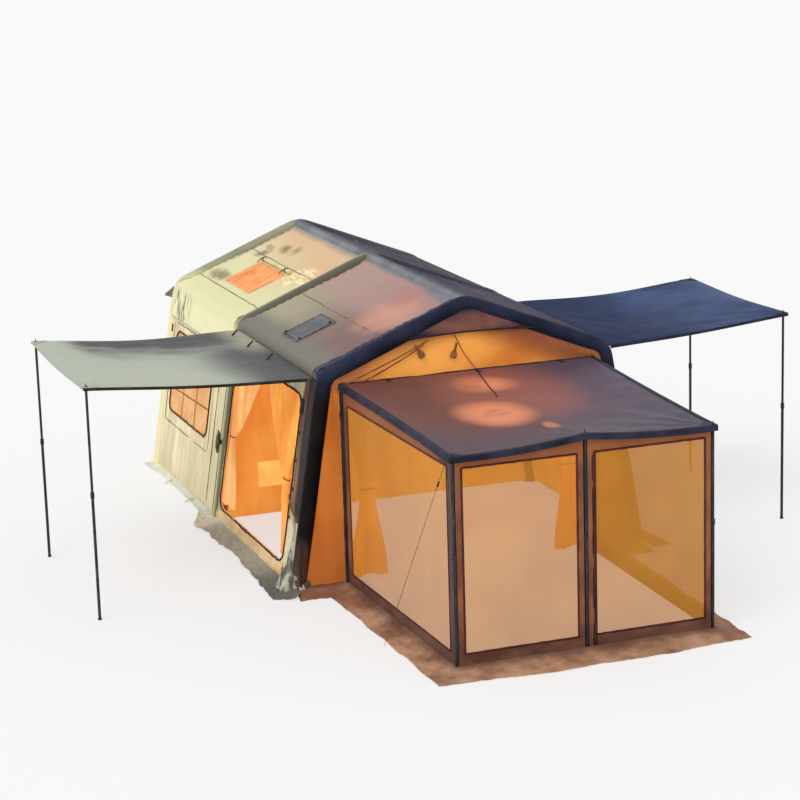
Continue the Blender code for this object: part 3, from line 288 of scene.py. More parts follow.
def make_cloth(name, tone, roughness=0.68, crumple=1.0, fine=1.0, sheen=0.05, painted_glow=0.0, shine=0.18):
    """A woven cloth of colour tone(place, x, y, z), with threads and crumples as relief.

    place is the vector for noise; x, y and z are the same place, counted in tent axes.

    painted_glow is a painted glow: the share of its own colour that the cloth gives off as
    emission, so that thin cloth and linings never render as dark as their shade."""
    material, shader, place, woven = new_material(name)
    x, y, z = place.axes()
    colour = tone(place, x - float(ORIGIN[0]), y - float(ORIGIN[1]), z)
    rough = place.noise(6.0, 2.0) * 0.16 + (roughness - 0.08)
    relief = place.raised(cloth_relief(place, woven, crumple, fine), 0.9)
    fill(shader, {"Base Color": colour, "Roughness": rough, "Normal": relief, "Sheen Weight": sheen,
                  "Sheen Roughness": 0.4, "Specular IOR Level": shine})
    # painted glow: emission in the cloth's own colour
    if painted_glow:
        fill(shader, {"Emission Color": colour, "Emission Strength": painted_glow})
    return material


def mottled(place, dark, light, scale, detail=4.0):
    """Two tones of one cloth, mixed by slow noise."""
    return place.noise(scale, detail).between(0.35, 0.65).paint(dark, light)


def one_dye(dark, light, scale, detail=4.0):
    """A tone that is the same all over the tent: only the mottling of one dye."""
    return lambda place, *axes: mottled(place, dark, light, scale, detail)


print("threads are", round(1000 / THREADS_PER_METRE, 2), "mm apart")

# %% [markdown]
# ## Grids of points
#
# A sheet is a grid of points, and a sleeve is a grid that closes on itself. The helpers below
# turn such grids into meshes whose UV map is the length along the cloth, and give the two
# things every piece of cloth needs: rounded paths, and folds.

# %% Steps and grids
def steps_down(count, first=0.0, last=1.0):
    """Even steps as a column: one number for each row of a grid."""
    return np.linspace(first, last, count)[:, None]


def steps_over(count, first=0.0, last=1.0):
    """Even steps as a row: one number for each column of a grid."""
    return np.linspace(first, last, count)[None, :]


def grid_of(x, y, z):
    """Points from their three coordinates, each spread over the whole grid."""
    return np.stack(np.broadcast_arrays(x, y, z), -1)


def mirror(grid, way):
    """A grid of the left side, or for the right side its mirror image."""
    return grid * np.array([way, 1.0, 1.0])


print("a small grid:", grid_of(steps_down(3), steps_over(4), 0.0).shape)


# %% A patch of faces
def patch(points, keep=None, closed=False, flip=False):
    """Quads over a grid of points, with the lengths along it as UV; closed joins last to first."""
    rows, columns = points.shape[:2]
    across = columns if closed else columns - 1
    i, j = np.meshgrid(np.arange(rows - 1), np.arange(across), indexing="ij")
    if keep is not None:
        i, j = i[keep], j[keep]
    i, j = i.ravel(), j.ravel()
    corner_i = np.stack([i, i + 1, i + 1, i], -1)
    corner_j = np.stack([j, j, j + 1, j + 1], -1)
    if flip:
        corner_i, corner_j = corner_i[:, ::-1], corner_j[:, ::-1]
    ring = np.concatenate([points, points[:, :1]], 1) if closed else points
    down = np.linalg.norm(np.diff(ring, axis=0), axis=-1).mean(1)
    over = np.linalg.norm(np.diff(ring, axis=1), axis=-1).mean(0)
    u = np.concatenate([[0.0], np.cumsum(down)])[corner_i]
    v = np.concatenate([[0.0], np.cumsum(over)])[corner_j]
    return points.reshape(-1, 3), corner_i * columns + corner_j % columns, np.stack([u, v], -1)


square = patch(grid_of(steps_down(3), steps_over(3), 0.0))
print("a 3 x 3 grid has", len(square[1]), "faces")

# %% One object for each piece
WELD = 1e-5


def weld(mesh):
    """Merge the points that seams and poles share."""
    work = bmesh.new()
    work.from_mesh(mesh)
    bmesh.ops.remove_doubles(work, verts=work.verts, dist=WELD)
    work.to_mesh(mesh)
    work.free()


def sewn(name, patches, material, thickness=0.0, body="tent"):
    """One object from patches in tent axes; its cloth gets its thickness from a Solidify."""
    starts = np.cumsum([0] + [len(points) for points, faces, uv in patches])
    points = np.concatenate([p for p, f, uv in patches]) + ORIGIN
    faces = np.concatenate([f + start for (p, f, uv), start in zip(patches, starts)])
    uv = np.concatenate([uv for p, f, uv in patches])
    used, index = np.unique(faces, return_inverse=True)
    mesh = bpy.data.meshes.new(name)
    mesh.from_pydata(points[used].tolist(), [], index.reshape(faces.shape).tolist())
    mesh.uv_layers.new(name="UVMap").data.foreach_set("uv", uv.reshape(-1).astype(np.float32))
    weld(mesh)
    mesh.shade_smooth()
    mesh.materials.append(material)
    made = add_object(name, mesh)
    if thickness:
        solid = made.modifiers.new("thickness", "SOLIDIFY")
        solid.thickness = thickness
        solid.offset = 0.0
    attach(made, body)
    return made


def piece(name, grid, material, thickness=0.0, body="tent", **how):
    """One object from one grid; how says whether the patch is closed, flipped or cut."""
    return sewn(name, [patch(grid, **how)], material, thickness, body)


def tube_piece(name, tube, material, body="tent"):
    """One object from the rings of a tube, which close on themselves."""
    return piece(name, tube, material, body=body, closed=True, flip=True)


print("points closer than", WELD, "m are merged")

# %% Cut sizes
LEAST_AREA_SHARE = 0.31


def cloth_area(made):
    """The cloth's area in square metres, without its thickness."""
    faces = np.empty(len(made.data.polygons))
    made.data.polygons.foreach_get("area", faces)
    return float(faces.sum())


def as_sheet(made, width, length, held, rests_on=()):
    """Work out a sheet's cut area, kept between a share of its rectangle and the whole; nothing is
    done with it.
    """
    area = min(cloth_area(made), width * length)
    max(area, LEAST_AREA_SHARE * width * length)


print("a cut keeps at least", LEAST_AREA_SHARE, "of its rectangle")


# %% Paths
def unit(vector):
    """The vector, or each of them, divided by its own length."""
    return vector / np.linalg.norm(vector, axis=-1, keepdims=True)


def rounded(corners, radii, steps=12):
    """A polyline whose inner corners become arcs that touch both sides."""
    corners = [np.asarray(corner, float) for corner in corners]
    parts = [corners[0][None]]
    for before, corner, after, radius in zip(corners, corners[1:], corners[2:], radii):
        first, second = unit(before - corner), unit(after - corner)
        half = math.acos(float(first @ second)) / 2
        centre = corner + unit(first + second) * radius / math.sin(half)
        start = corner + first * radius / math.tan(half) - centre
        end = corner + second * radius / math.tan(half) - centre
        sweep = math.pi - 2 * half
        t = steps_down(steps)
        parts.append(centre + (np.sin((1 - t) * sweep) * start + np.sin(t * sweep) * end)
                     / math.sin(sweep))
    parts.append(corners[-1][None])
    return np.concatenate(parts)


def along(line, t):
    """The points at fractions t of a polyline's length."""
    steps = np.linalg.norm(np.diff(line, axis=0), axis=1)
    length = np.concatenate([[0.0], np.cumsum(steps)])
    return np.stack([np.interp(np.asarray(t) * length[-1], length, line[:, k])
                     for k in range(line.shape[1])], -1)


def line_length(line):
    """The sum of a polyline's steps."""
    return float(np.linalg.norm(np.diff(line, axis=0), axis=1).sum())


path = rounded([(0.0, 0.0), (1.0, 0.0), (1.0, 1.0)], [0.2])
print("a rounded corner shortens its path to", round(line_length(path), 3))

# %% Tubes along a path
X_AXIS, Y_AXIS, Z_AXIS = np.eye(3)


def swept(line, radius, side, count, around, closed_ends=True):
    """A tube: rings of the radius about a line, measured from the direction side."""
    t = np.linspace(0, 1, count)
    centre = along(line, t)
    ahead = unit(np.gradient(centre, axis=0))
    across = unit(side - ahead * (ahead @ side)[:, None])
    out = np.cross(across, ahead)
    angle = np.linspace(0, TURN, around, endpoint=False)
    if callable(radius):
        radius = radius(t[:, None], angle[None, :])
    angle = angle[None, :, None]
    ring = np.cos(angle) * out[:, None] + np.sin(angle) * across[:, None]
    tube = centre[:, None] + ring * np.broadcast_to(radius, (count, around))[..., None]
    if closed_ends:
        ends = [np.broadcast_to(centre[k], (1, around, 3)) for k in (0, -1)]
        tube = np.concatenate([ends[0], tube, ends[1]])
    return tube


print("tubes are measured from", X_AXIS, Y_AXIS, "or", Z_AXIS)

# %% Folds
WAVES = 7


def ripples(a, b, size, seed):
    """Slow folds: a mean of sines of about the given length, each in its own direction."""
    dice = np.random.default_rng(seed)
    total = np.zeros(np.broadcast(a, b).shape)
    for _ in range(WAVES):
        turn = dice.uniform(0, math.pi)
        rate = TURN / (size * dice.uniform(0.6, 1.7))
        bend = dice.uniform(0.2, 0.8)
        phase = dice.uniform(0, TURN, 2)
        line = a * math.cos(turn) + b * math.sin(turn)
        other = b * math.cos(turn) - a * math.sin(turn)
        swing = bend * np.sin(rate * 0.6 * other + phase[1])
        total = total + np.sin(rate * line + phase[0] + swing)
    return total / WAVES * 1.6


def creases(a, b, size, seed):
    """Sharp folds: the ridges where slow folds change sign."""
    return 1.0 - np.abs(ripples(a, b, size, seed)) * 1.6


def fan(a, b, a0, b0, count, reach, turn=0.0):
    """Tension folds that run out from a corner and die away over their reach."""
    distance = np.hypot(a - a0, b - b0)
    angle = np.arctan2(b - b0, a - a0)
    rise = distance / (distance + 0.15 * reach)
    return np.sin(count * angle + turn) * np.exp(-(distance / reach) ** 2) * rise


def ease(low, high, value):
    """0 below low, 1 above high, and an eased step between."""
    t = np.clip((value - low) / (high - low), 0.0, 1.0)
    return t * t * (3 - 2 * t)


def arc(t):
    """Half a sine: 0 at both ends and 1 in the middle."""
    return np.sin(math.pi * t)


here = np.linspace(0, 1, 200)
print("ripples stay within", round(float(np.abs(ripples(here, 0.0, 0.3, 1)).max()), 2))


# %% Bands
def band(name, line, width, normal, material, thickness=THIN_CLOTH, lift=0.0, steps=120):
    """A flat strip of the given width along a line, lying on a surface with that normal."""
    t = np.linspace(0, 1, steps)
    centre = along(line, t)
    normal = unit(np.broadcast_to(np.asarray(normal, float), centre.shape))
    ahead = unit(np.gradient(centre, axis=0))
    across = unit(np.cross(normal, ahead))
    s = np.linspace(-0.5, 0.5, 5)[None, :, None]
    crown = (0.25 - s ** 2) * thickness * 2
    points = centre[:, None] + across[:, None] * s * width + normal[:, None] * (lift + crown)
    return piece(name, points, material, thickness)


print("pieces so far:", len(bpy.data.meshes))

# %% [markdown]
# ## The guy line
#
# One cord holds the porch roof's front left corner. It is taut, so it is a straight line from
# the hem to its peg point, and its route is the solid's: the two far corners of the solid's
# box, moved in by what a round cord of this radius adds to a box.

# %% Guy line
GUY_RADIUS = 0.002
GUY_POINTS = 20


def guy_route():
    """The cord's two ends: x falls and y grows on the way down."""
    low, high = (np.array(corner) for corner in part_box("guy_line"))
    top = np.array([high[0], low[1], high[2]])
    ground = np.array([low[0], high[1], low[2]])
    spread = GUY_RADIUS * np.sqrt(1.0 - unit(ground - top) ** 2) * np.array([-1.0, 1.0, -1.0])
    return top + spread, ground - spread


def make_guy_line(material):
    """A straight curve of even points with a round bevel, from the hem to the ground."""
    top, ground = guy_route()
    curve = bpy.data.curves.new("guy_line_cord", "CURVE")
    curve.dimensions = "3D"
    curve.bevel_depth = GUY_RADIUS
    curve.bevel_resolution = 3
    curve.use_fill_caps = True
    spline = curve.splines.new("POLY")
    spline.points.add(GUY_POINTS - 1)
    t = steps_down(GUY_POINTS)
    route = top + (ground - top) * t
    spline.points.foreach_set("co", np.concatenate([route, np.ones_like(t)], 1).ravel())
    curve.materials.append(material)
    cord = add_object("guy_line_cord", curve)
    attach(cord, "tent")
    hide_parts("guy_line")
    length = float(np.linalg.norm(ground - top))
    return length


CORD = make_cloth("twisted_cord", one_dye((40, 38, 34), (86, 80, 66), 300.0, 2.0),
                  roughness=0.8, crumple=0.0, fine=0.5)
print("guy line", round(make_guy_line(CORD), 3), "m")

# %% [markdown]
# ## Floor and light
#
# A plain studio: a pale floor, an even sky and one wide soft lamp. The light is set so that a
# colour renders about as it is written. The floor and the sky show paler to the camera, to
# gloss and through mesh than they light the tent, so no extra light is needed for the white.

# %% Floor and light
FLOOR_HALF = 250.0
SKY_LIGHT = 0.80
LAMP_STRENGTH = 1.15
LAMP_ANGLE = math.radians(35)
LAMP_TURN = (math.radians(38), math.radians(-14), math.radians(-32))
FLOOR_GREY = (0.80, 0.80, 0.80, 1.0)
FLOOR_WHITE = 0.6


def shown_rays(tree):
    """1 for the rays that show a background: from the camera, off gloss and through glass."""
    path = tree.nodes.new("ShaderNodeLightPath")
    seen = Socket(tree, path.outputs["Is Camera Ray"])
    for name in ("Is Glossy Ray", "Is Transmission Ray"):
        seen = seen.math("MAXIMUM", seen, Socket(tree, path.outputs[name]))
    return seen


def make_floor():
    """A square whose shader mixes a matt grey with white, for the rays that show it."""
    grid = np.array([[[-1, -1, 0], [-1, 1, 0]], [[1, -1, 0], [1, 1, 0]]], float) * FLOOR_HALF
    mesh = bpy.data.meshes.new("studio_floor")
    mesh.from_pydata(grid.reshape(-1, 3).tolist(), [], [(0, 2, 3, 1)])
    floor = add_object("studio_floor", mesh)
    material, shader, *_ = new_material("studio_floor")
    fill(shader, {"Base Color": FLOOR_GREY, "Roughness": 0.9, "Specular IOR Level": 0.0})
    tree = material.node_tree
    white = tree.nodes.new("ShaderNodeEmission")
    mix = tree.nodes.new("ShaderNodeMixShader")
    share = shown_rays(tree) * FLOOR_WHITE
    tree.links.new(share.out, mix.inputs[0])
    tree.links.new(shader.outputs[0], mix.inputs[1])
    tree.links.new(white.outputs[0], mix.inputs[2])
    tree.links.new(mix.outputs[0], tree.nodes["Material Output"].inputs[0])
    mesh.materials.append(material)


def make_light():
    """An even sky, brighter where it is seen than where it lights, and one wide sun."""
    world = bpy.data.worlds.new("studio_sky")
    world.use_nodes = True
    tree = world.node_tree
    strength = shown_rays(tree) * (1.0 - SKY_LIGHT) + SKY_LIGHT
    fill(tree.nodes["Background"], {"Color": (1.0, 1.0, 1.0, 1.0), "Strength": strength})
    bpy.context.scene.world = world
    data = bpy.data.lights.new("wide_lamp", "SUN")
    data.energy = LAMP_STRENGTH
    data.angle = LAMP_ANGLE
    add_object("wide_lamp", data).rotation_euler = LAMP_TURN
    bpy.context.scene.view_settings.view_transform = "Standard"


make_floor()
make_light()
print("sky", SKY_LIGHT, "lamp", LAMP_STRENGTH)

# %% [markdown]
# ## The colours of the tent's cloths
#
# The same polyester comes in a few dyes, and on a long roof the dye looks different from end
# to end: lemon-pale where the sun falls, tan and mauve where it doesn't. Many tones below paint
# that light into the colour: painted highlights, painted shade and painted glows. Each
# tone below is a sum over the place, in tent axes, and nothing in it knows of the camera.

# %% Tones of the roofs
def spot(x, y, at, size):
    """A soft round patch: 1 in the middle, 0 at the edge of an ellipse of the given size."""
    far = ((x - at[0]) * (1 / size[0])) ** 2 + ((y - at[1]) * (1 / size[1])) ** 2
    return far.between(1.0, 0.0)


def rear_roof_tone(place, x, y, z):
    """Painted light: lemon-pale low down, tan near the ridge and the middle arch; a few darker
    smudges.
    """
    slow = place.noise(0.9, 3.0)
    # painted light: tan up towards the ridge, lemon-pale lower down where the light falls
    down = (abs(x) * 0.85 + (y - FRONT_BAY) * 0.14 + slow * 0.45).between(0.55, 1.20)
    tone = down.paint((214, 180, 140), (218, 214, 166))
    # painted light: paler still below the eave's height
    tone = (z - slow * 0.2).between(1.98, 1.74).paint(tone, (238, 235, 188))
    cloudy = place.noise(3.0, 5.0, 0.62).between(0.36, 0.54)
    smudge = spot(x, y, (-0.53, 4.49), (0.14, 0.28)) + spot(x, y, (-0.36, 4.02), (0.12, 0.30))
    smudge = smudge + spot(x, y, (-1.04, 4.34), (0.12, 0.36)) * 0.8
    tone = (smudge * cloudy * 0.95).paint(tone, (112, 90, 66))
    # painted highlights on fine puckers beside the middle arch
    pucker_highlight = place.noise(18.0, 3.0, 0.6, stretch=(1.4, 0.35, 1.0)).between(0.44, 0.60)
    tone = (pucker_highlight * spot(x, y, (-0.62, 2.94), (0.22, 0.46))).paint(tone, (250, 238, 180))
    edge = (y + slow * 0.12).between(4.66, 4.82) * abs(x).between(1.15, 0.55)
    tone = (edge * 0.7).paint(tone, (120, 116, 98))
    streak = place.noise(15.0, 3.0, 0.6, stretch=(1.0, 1.0, 0.08)).between(0.48, 0.62)
    streak = streak * y.between(4.05, 4.35) * z.between(1.98, 1.88)
    tone = (streak * 0.85).paint(tone, (106, 84, 56))
    ridge = (abs(x) + slow * 0.08).between(0.22, 0.10)
    return (ridge * 0.8).paint(tone, (126, 128, 130))


def front_roof_tone(place, x, y, z):
    """Tan-cream by the middle arch, mauve and then navy by the front one, grey painted shade by the
    eave.
    """
    slow = place.noise(0.8, 3.0)
    # painted light: mauve towards the front, tan-cream and paler towards the middle arch
    back = (y * 0.55 + slow * 0.7).between(0.72, 1.45)
    tone = back.paint((122, 94, 92), (148, 138, 118))
    pale = (y * 0.6 + abs(x) * 0.4 + slow * 0.5).between(1.50, 2.15)
    tone = (pale * 0.8).paint(tone, (170, 162, 134))
    # painted highlight high on the slope, near the ridge
    high = (abs(x) + slow * 0.3).between(1.00, 0.62)
    tone = (high * 0.75).paint(tone, (174, 138, 130))
    # painted warm glows on the slope
    warm = spot(x, y, (-0.53, 0.60), (0.40, 0.50)) * place.noise(2.4, 2.0).between(0.20, 0.55)
    tone = (warm * 0.75).paint(tone, (206, 146, 120))
    rosy = spot(x, y, (-0.22, 0.70), (0.26, 0.55)) * place.noise(2.0, 2.0).between(0.30, 0.60)
    tone = (rosy * 0.6).paint(tone, (172, 112, 108))
    # grey painted shade by the eave
    eave = (abs(x) + slow * 0.16).between(1.10, 1.36)
    tone = eave.paint(tone, (118, 114, 104))
    ridge = (abs(x) + slow * 0.06 - y.between(0.9, 0.2) * 0.07).between(0.155, 0.095)
    tone = (ridge * 0.85).paint(tone, (112, 116, 126))
    facing = y.between(0.178, 0.160) * (z + slow * 0.1).between(1.96, 2.02)
    return (facing * 0.92).paint(tone, mottled(place, (34, 38, 56), (48, 52, 74), 2.4))


def right_roof_tone(place, x, y, z):
    """The shaded slope: dark slate-mauve, rosier in slow streaks along the ridge."""
    streaks = place.noise(1.1, 4.0, 0.6, stretch=(2.2, 0.5, 2.2)).between(0.36, 0.68)
    tone = streaks.paint((32, 32, 54), (56, 46, 66))
    rosy = x.between(0.60, 0.20) * y.between(2.3, 2.9)
    tone = (rosy * 0.7).paint(tone, (90, 64, 76))
    return (y.between(1.9, 2.2) * y.between(2.9, 2.5) * 0.6).paint(tone, (36, 38, 70))


REAR_ROOF = make_cloth("rear_roof_cloth", rear_roof_tone, 0.66, 1.1)
FRONT_ROOF = make_cloth("front_roof_cloth", front_roof_tone, 0.60, 0.7)
RIGHT_ROOF = make_cloth("right_roof_cloth", right_roof_tone, 0.58, 0.7, sheen=0.0, shine=0.06)
print("cloths so far:", len(bpy.data.materials))

# %% Tones of the sleeves
def navy_tone(place, x, y, z):
    """Navy over the roof, and brown-black down the legs to the ground."""
    tone = mottled(place, (26, 30, 46), (44, 48, 70), 2.4)
    leg = (z + place.noise(3.0, 2.0) * 0.2).between(2.0, 1.76)
    tone = (leg * 0.95).paint(tone, mottled(place, (12, 9, 9), (27, 19, 17), 4.0))
    low = (z + place.noise(5.0, 3.0) * 0.14).between(0.62, 0.42)
    grey = place.noise(14.0, 3.0, 0.6, stretch=(1.0, 1.0, 0.06)).between(0.36, 0.62)
    return low.paint(tone, grey.paint((62, 44, 38), (98, 78, 66)))


def sleeve_tone(place, x, y, z):
    """Grey-green on top, painted shade on the side that faces the door, cream down the left legs.
    """
    tone = mottled(place, (126, 126, 104), (152, 149, 124), 1.9)
    rear = (z + place.noise(1.6, 2.0) * 0.2).between(2.30, 2.05) * y.between(4.5, 4.7)
    tone = rear.paint(tone, (220, 217, 174))
    # painted shade on the flank that faces the door
    ahead = y.between(FRONT_BAY + 0.005, FRONT_BAY - 0.045) * y.between(2.3, 2.4)
    tone = (ahead * 0.85).paint(tone, (84, 82, 70))
    leg = (z + place.noise(4.0, 2.0) * 0.1).between(2.08, 1.92) * y.between(2.26, 2.34)
    # legs: cream, with grey painted shade on the flank that faces the door
    pale = ahead.paint((240, 230, 182), (140, 134, 106))
    tone = (leg * 0.97).paint(tone, pale)
    tone = y.between(0.34, 0.24).paint(tone, (38, 40, 56))
    shade = x.between(-0.04, 0.10)
    return (shade * 0.9).paint(tone, mottled(place, (42, 42, 60), (62, 60, 80), 2.4))


def ridge_tone(place, x, y, z):
    """Grey on the lit flank and slate on the other."""
    tone = mottled(place, (108, 110, 116), (132, 134, 138), 1.6)
    return x.between(-0.05, 0.01).paint(tone, mottled(place, (44, 44, 62), (66, 62, 80), 1.6))


NAVY_SLEEVE = make_cloth("navy_sleeve_cloth", navy_tone, 0.55, 0.5, sheen=0.0, shine=0.06)
PALE_SLEEVE = make_cloth("pale_sleeve_cloth", sleeve_tone, 0.62, 0.5)
RIDGE_SLEEVE = make_cloth("ridge_sleeve_cloth", ridge_tone, 0.6, 0.5)
print("cloths so far:", len(bpy.data.materials))

# %% Tones of the walls
def side_wall_tone(place, x, y, z):
    """Cream with long upright shadows, a mauve strip beside the front arch and a greyer foot."""
    fine = place.noise(9.0, 4.0, 0.6, stretch=(1.0, 1.0, 0.10)).between(0.36, 0.66)
    tone = fine.paint((224, 208, 168), (246, 236, 196))
    broad = place.noise(2.6, 2.0, 0.5, stretch=(1.0, 1.0, 0.2)).between(0.44, 0.66)
    tone = (broad * 0.35).paint(tone, (204, 182, 144))
    foot = (z + place.noise(3.0, 3.0) * 0.3).between(0.50, 0.14)
    tone = (foot * 0.4).paint(tone, (206, 196, 162))
    beside = y.between(2.60, 2.70) * y.between(3.16, 3.04)
    tone = (beside * 0.7).paint(tone, fine.paint((226, 214, 168), (246, 236, 192)))
    post = y.between(0.42, 0.34) * (z + place.noise(4.0, 2.0) * 0.2).between(0.60, 0.80)
    tone = (post * 0.95).paint(tone, fine.paint((84, 54, 48), (152, 104, 80)))
    return (post * y.between(0.29, 0.22) * 0.9).paint(tone, (34, 28, 28))


def front_wall_tone(place, x, y, z):
    """Orange, with a painted warm glow in the gable's middle, browner towards the arch and the
    foot.
    """
    tone = mottled(place, (208, 120, 46), (238, 152, 68), 1.6)
    # painted glow: lighter warm orange in the gable's middle
    middle = spot(x, z, (-0.35, 2.10), (0.85, 0.38))
    tone = (middle * 0.75).paint(tone, (255, 182, 88))
    edge = (abs(x) * 0.34 + x * 0.10 + z + place.noise(1.6, 3.0) * 0.12).between(2.18, 2.44)
    tone = (edge * 0.85).paint(tone, (126, 72, 50))
    corner = x.between(-0.72, -1.15) * z.between(1.76, 1.84)
    tone = (corner * 0.7).paint(tone, (146, 82, 60))
    strip = x.between(-1.10, -1.18) * z.between(1.84, 1.76)
    tone = (strip * 0.6).paint(tone, (178, 96, 38))
    low = (z + place.noise(2.2, 3.0) * 0.4).between(1.0, 0.2)
    return (low * 0.55).paint(tone, (174, 100, 48))


def gusset_tone(place, x, y, z):
    """Rosy brown in the middle of the front gusset, navy along the arch and the hem."""
    middle = spot(x, z, (0.08, 2.31), (0.66, 0.13)) * place.noise(2.2, 2.0).between(0.10, 0.50)
    return middle.paint((42, 40, 56), (150, 98, 86))


SIDE_WALL = make_cloth("side_wall_cloth", side_wall_tone, 0.72, 0.9)
# the front wall has a painted glow
FRONT_WALL = make_cloth("front_wall_cloth", front_wall_tone, 0.68, 0.9, painted_glow=0.22)
GUSSET = make_cloth("gusset_cloth", gusset_tone, 0.6, 0.7)
print("cloths so far:", len(bpy.data.materials))

# %% Tones of linings and curtains
def lining_tone(place, x, y, z):
    """Warm orange cloth, lighter high up, with painted light and shade in its folds."""
    # painted light and shade of soft folds
    folds = place.noise(2.4, 3.0, 0.55, stretch=(1.0, 1.0, 0.35)).between(0.30, 0.66)
    tone = folds.paint((226, 154, 68), (252, 194, 100))
    # painted shade in the folds
    dark = place.noise(2.6, 4.0, 0.6, kind=RIDGED, stretch=(1.3, 1.3, 0.30))
    dark = dark.between(0.55, 0.15)
    tone = (dark * 0.40).paint(tone, (176, 104, 42))
    high = (z + place.noise(1.2, 2.0) * 0.3).between(1.85, 2.3)
    return (high * 0.35).paint(tone, (244, 180, 100))


def curtain_tone(place, x, y, z):
    """Thin orange cloth with painted highlights on its crests, and paler peach, painted light,
    beside the side door's rear post.
    """
    # painted light and shade: pale crests and darker folds
    folds = place.noise(3.4, 2.0, 0.5, stretch=(1.6, 1.6, 0.16)).between(0.28, 0.70)
    tone = folds.paint((226, 140, 60), (254, 180, 88))
    # painted light: paler peach where the rear curtain faces out
    rear = x.between(-1.36, -1.46) * y.between(1.15, 1.55)
    tone = (rear * 0.9).paint(tone, folds.paint((226, 160, 96), (250, 202, 134)))
    return (z.between(0.8, 0.2) * 0.25).paint(tone, (222, 150, 96))


# linings and curtains have a painted glow
LINING = make_cloth("lining_cloth", lining_tone, 0.72, 1.0, painted_glow=0.55)
CURTAIN = make_cloth("curtain_cloth", curtain_tone, 0.74, 0.6, painted_glow=0.44)
print("cloths so far:", len(bpy.data.materials))

# %% Tones of the porch
def porch_roof_tone(place, x, y, z):
    """Red-brown on the left, mauve on the right, with painted warm glows of lamplight and a slate
    front.
    """
    slow = place.noise(0.9, 3.0)
    across = (x * 0.45 + slow * 0.5).between(-0.15, 0.72)
    tone = across.paint((106, 66, 60), (82, 68, 84))
    # painted lamplight: a broad warm glow in the middle of the roof
    broad_lamp_glow = spot(x, y, (0.06, -0.80), (0.80, 1.10)) * 0.7
    tone = broad_lamp_glow.paint(tone, (158, 94, 76))
    front = (y * -1.0 + abs(x) * 0.25 + slow * 0.2).between(1.75, 2.55)
    tone = (front * 0.7).paint(tone, (74, 68, 82))
    # painted lamplight: soft warm glows, broken up by streaks
    streak = place.noise(3.2, 3.0, 0.55, stretch=(0.9, 0.9, 1.0)).between(0.16, 0.52)
    lamp_glow = spot(x, y, (-0.06, -0.45), (0.30, 0.30)) * 0.6
    lamp_glow = lamp_glow + spot(x, y, (0.12, -0.50), (0.22, 0.24)) * 0.4
    lamp_glow = lamp_glow + spot(x, y, (-0.29, -1.38), (0.42, 0.54))
    lamp_glow = lamp_glow + spot(x, y, (-0.06, -2.03), (0.07, 0.20)) * 0.6
    return (lamp_glow * streak * 0.9).paint(tone, (230, 144, 104))


def brown_tone(place, x, y, z):
    """Reddish brown, duskier low down and warmer at the head."""
    tone = mottled(place, (112, 68, 50), (146, 94, 66), 3.0)
    tone = (z.between(1.62, 1.74) * 0.7).paint(tone, (160, 94, 54))
    shaded = y.between(-PORCH_LENGTH + 0.004, -PORCH_LENGTH + 0.010) * y.between(-2.25, -2.36)
    tone = (shaded * 0.8).paint(tone, (70, 58, 62))
    foot = mottled(place, (80, 52, 44), (108, 74, 60), 5.0)
    return (z.between(0.34, 0.16) * 0.75).paint(tone, foot)


PORCH_ROOF = make_cloth("porch_roof_cloth", porch_roof_tone, 0.52, 0.7, sheen=0.03, shine=0.14)
BROWN = make_cloth("brown_wall_cloth", brown_tone, 0.7, 0.8)
print("cloths so far:", len(bpy.data.materials))

# %% Tones of the ground skirts
def skirt_tone(place, x, y, z):
    """Cream-white cloth, with painted shade in its creases and grey in the front corner."""
    tone = mottled(place, (212, 204, 180), (240, 234, 214), 2.6)
    rear = y.between(2.6, 3.2)
    tone = (rear * 0.7).paint(tone, (232, 232, 206))
    trodden = (y + place.noise(2.0, 2.0) * 0.3).between(2.55, 2.35)
    tone = (trodden * 0.6).paint(tone, (178, 176, 166))
    front = (y + place.noise(1.4, 2.0) * 0.9).between(1.75, 0.50)
    tone = (front * 0.70).paint(tone, (120, 118, 110))
    # painted shade in the creases, deeper in the front corner
    dark = place.noise(4.0, 4.0, 0.6, kind=RIDGED).between(0.60, 0.10)
    return (dark * (front * 0.35 + trodden * 0.15 + 0.15)).paint(tone, (72, 70, 64))


def bunch_tone(place, x, y, z):
    """Upright stripes of grey, cream and brown where spare cloth is bunched round a foot."""
    stripes = place.noise(13.0, 2.0, 0.5, stretch=(1.0, 1.0, 0.10))
    tone = stripes.between(0.36, 0.54).paint((96, 94, 84), (190, 186, 166))
    return (stripes.between(0.58, 0.66) * 0.7).paint(tone, (112, 78, 60))


def porch_skirt_tone(place, x, y, z):
    """Rosy tan, with brown shadows in its creases and beside the wall."""
    tone = mottled(place, (146, 102, 78), (208, 164, 132), 2.6)
    wall = (z + place.noise(3.0, 2.0) * 0.05).between(0.045, 0.075)
    tone = (wall * 0.7).paint(tone, (92, 60, 52))
    dark = place.noise(5.0, 4.0, 0.6, kind=RIDGED).between(0.70, 0.15)
    return (dark * 0.25).paint(tone, (92, 58, 48))


SKIRT = make_cloth("skirt_cloth", skirt_tone, 0.75, 1.8)
BUNCH = make_cloth("bunched_cloth", bunch_tone, 0.75, 1.6)
PORCH_SKIRT = make_cloth("porch_skirt_cloth", porch_skirt_tone, 0.75, 2.0)
print("cloths so far:", len(bpy.data.materials))

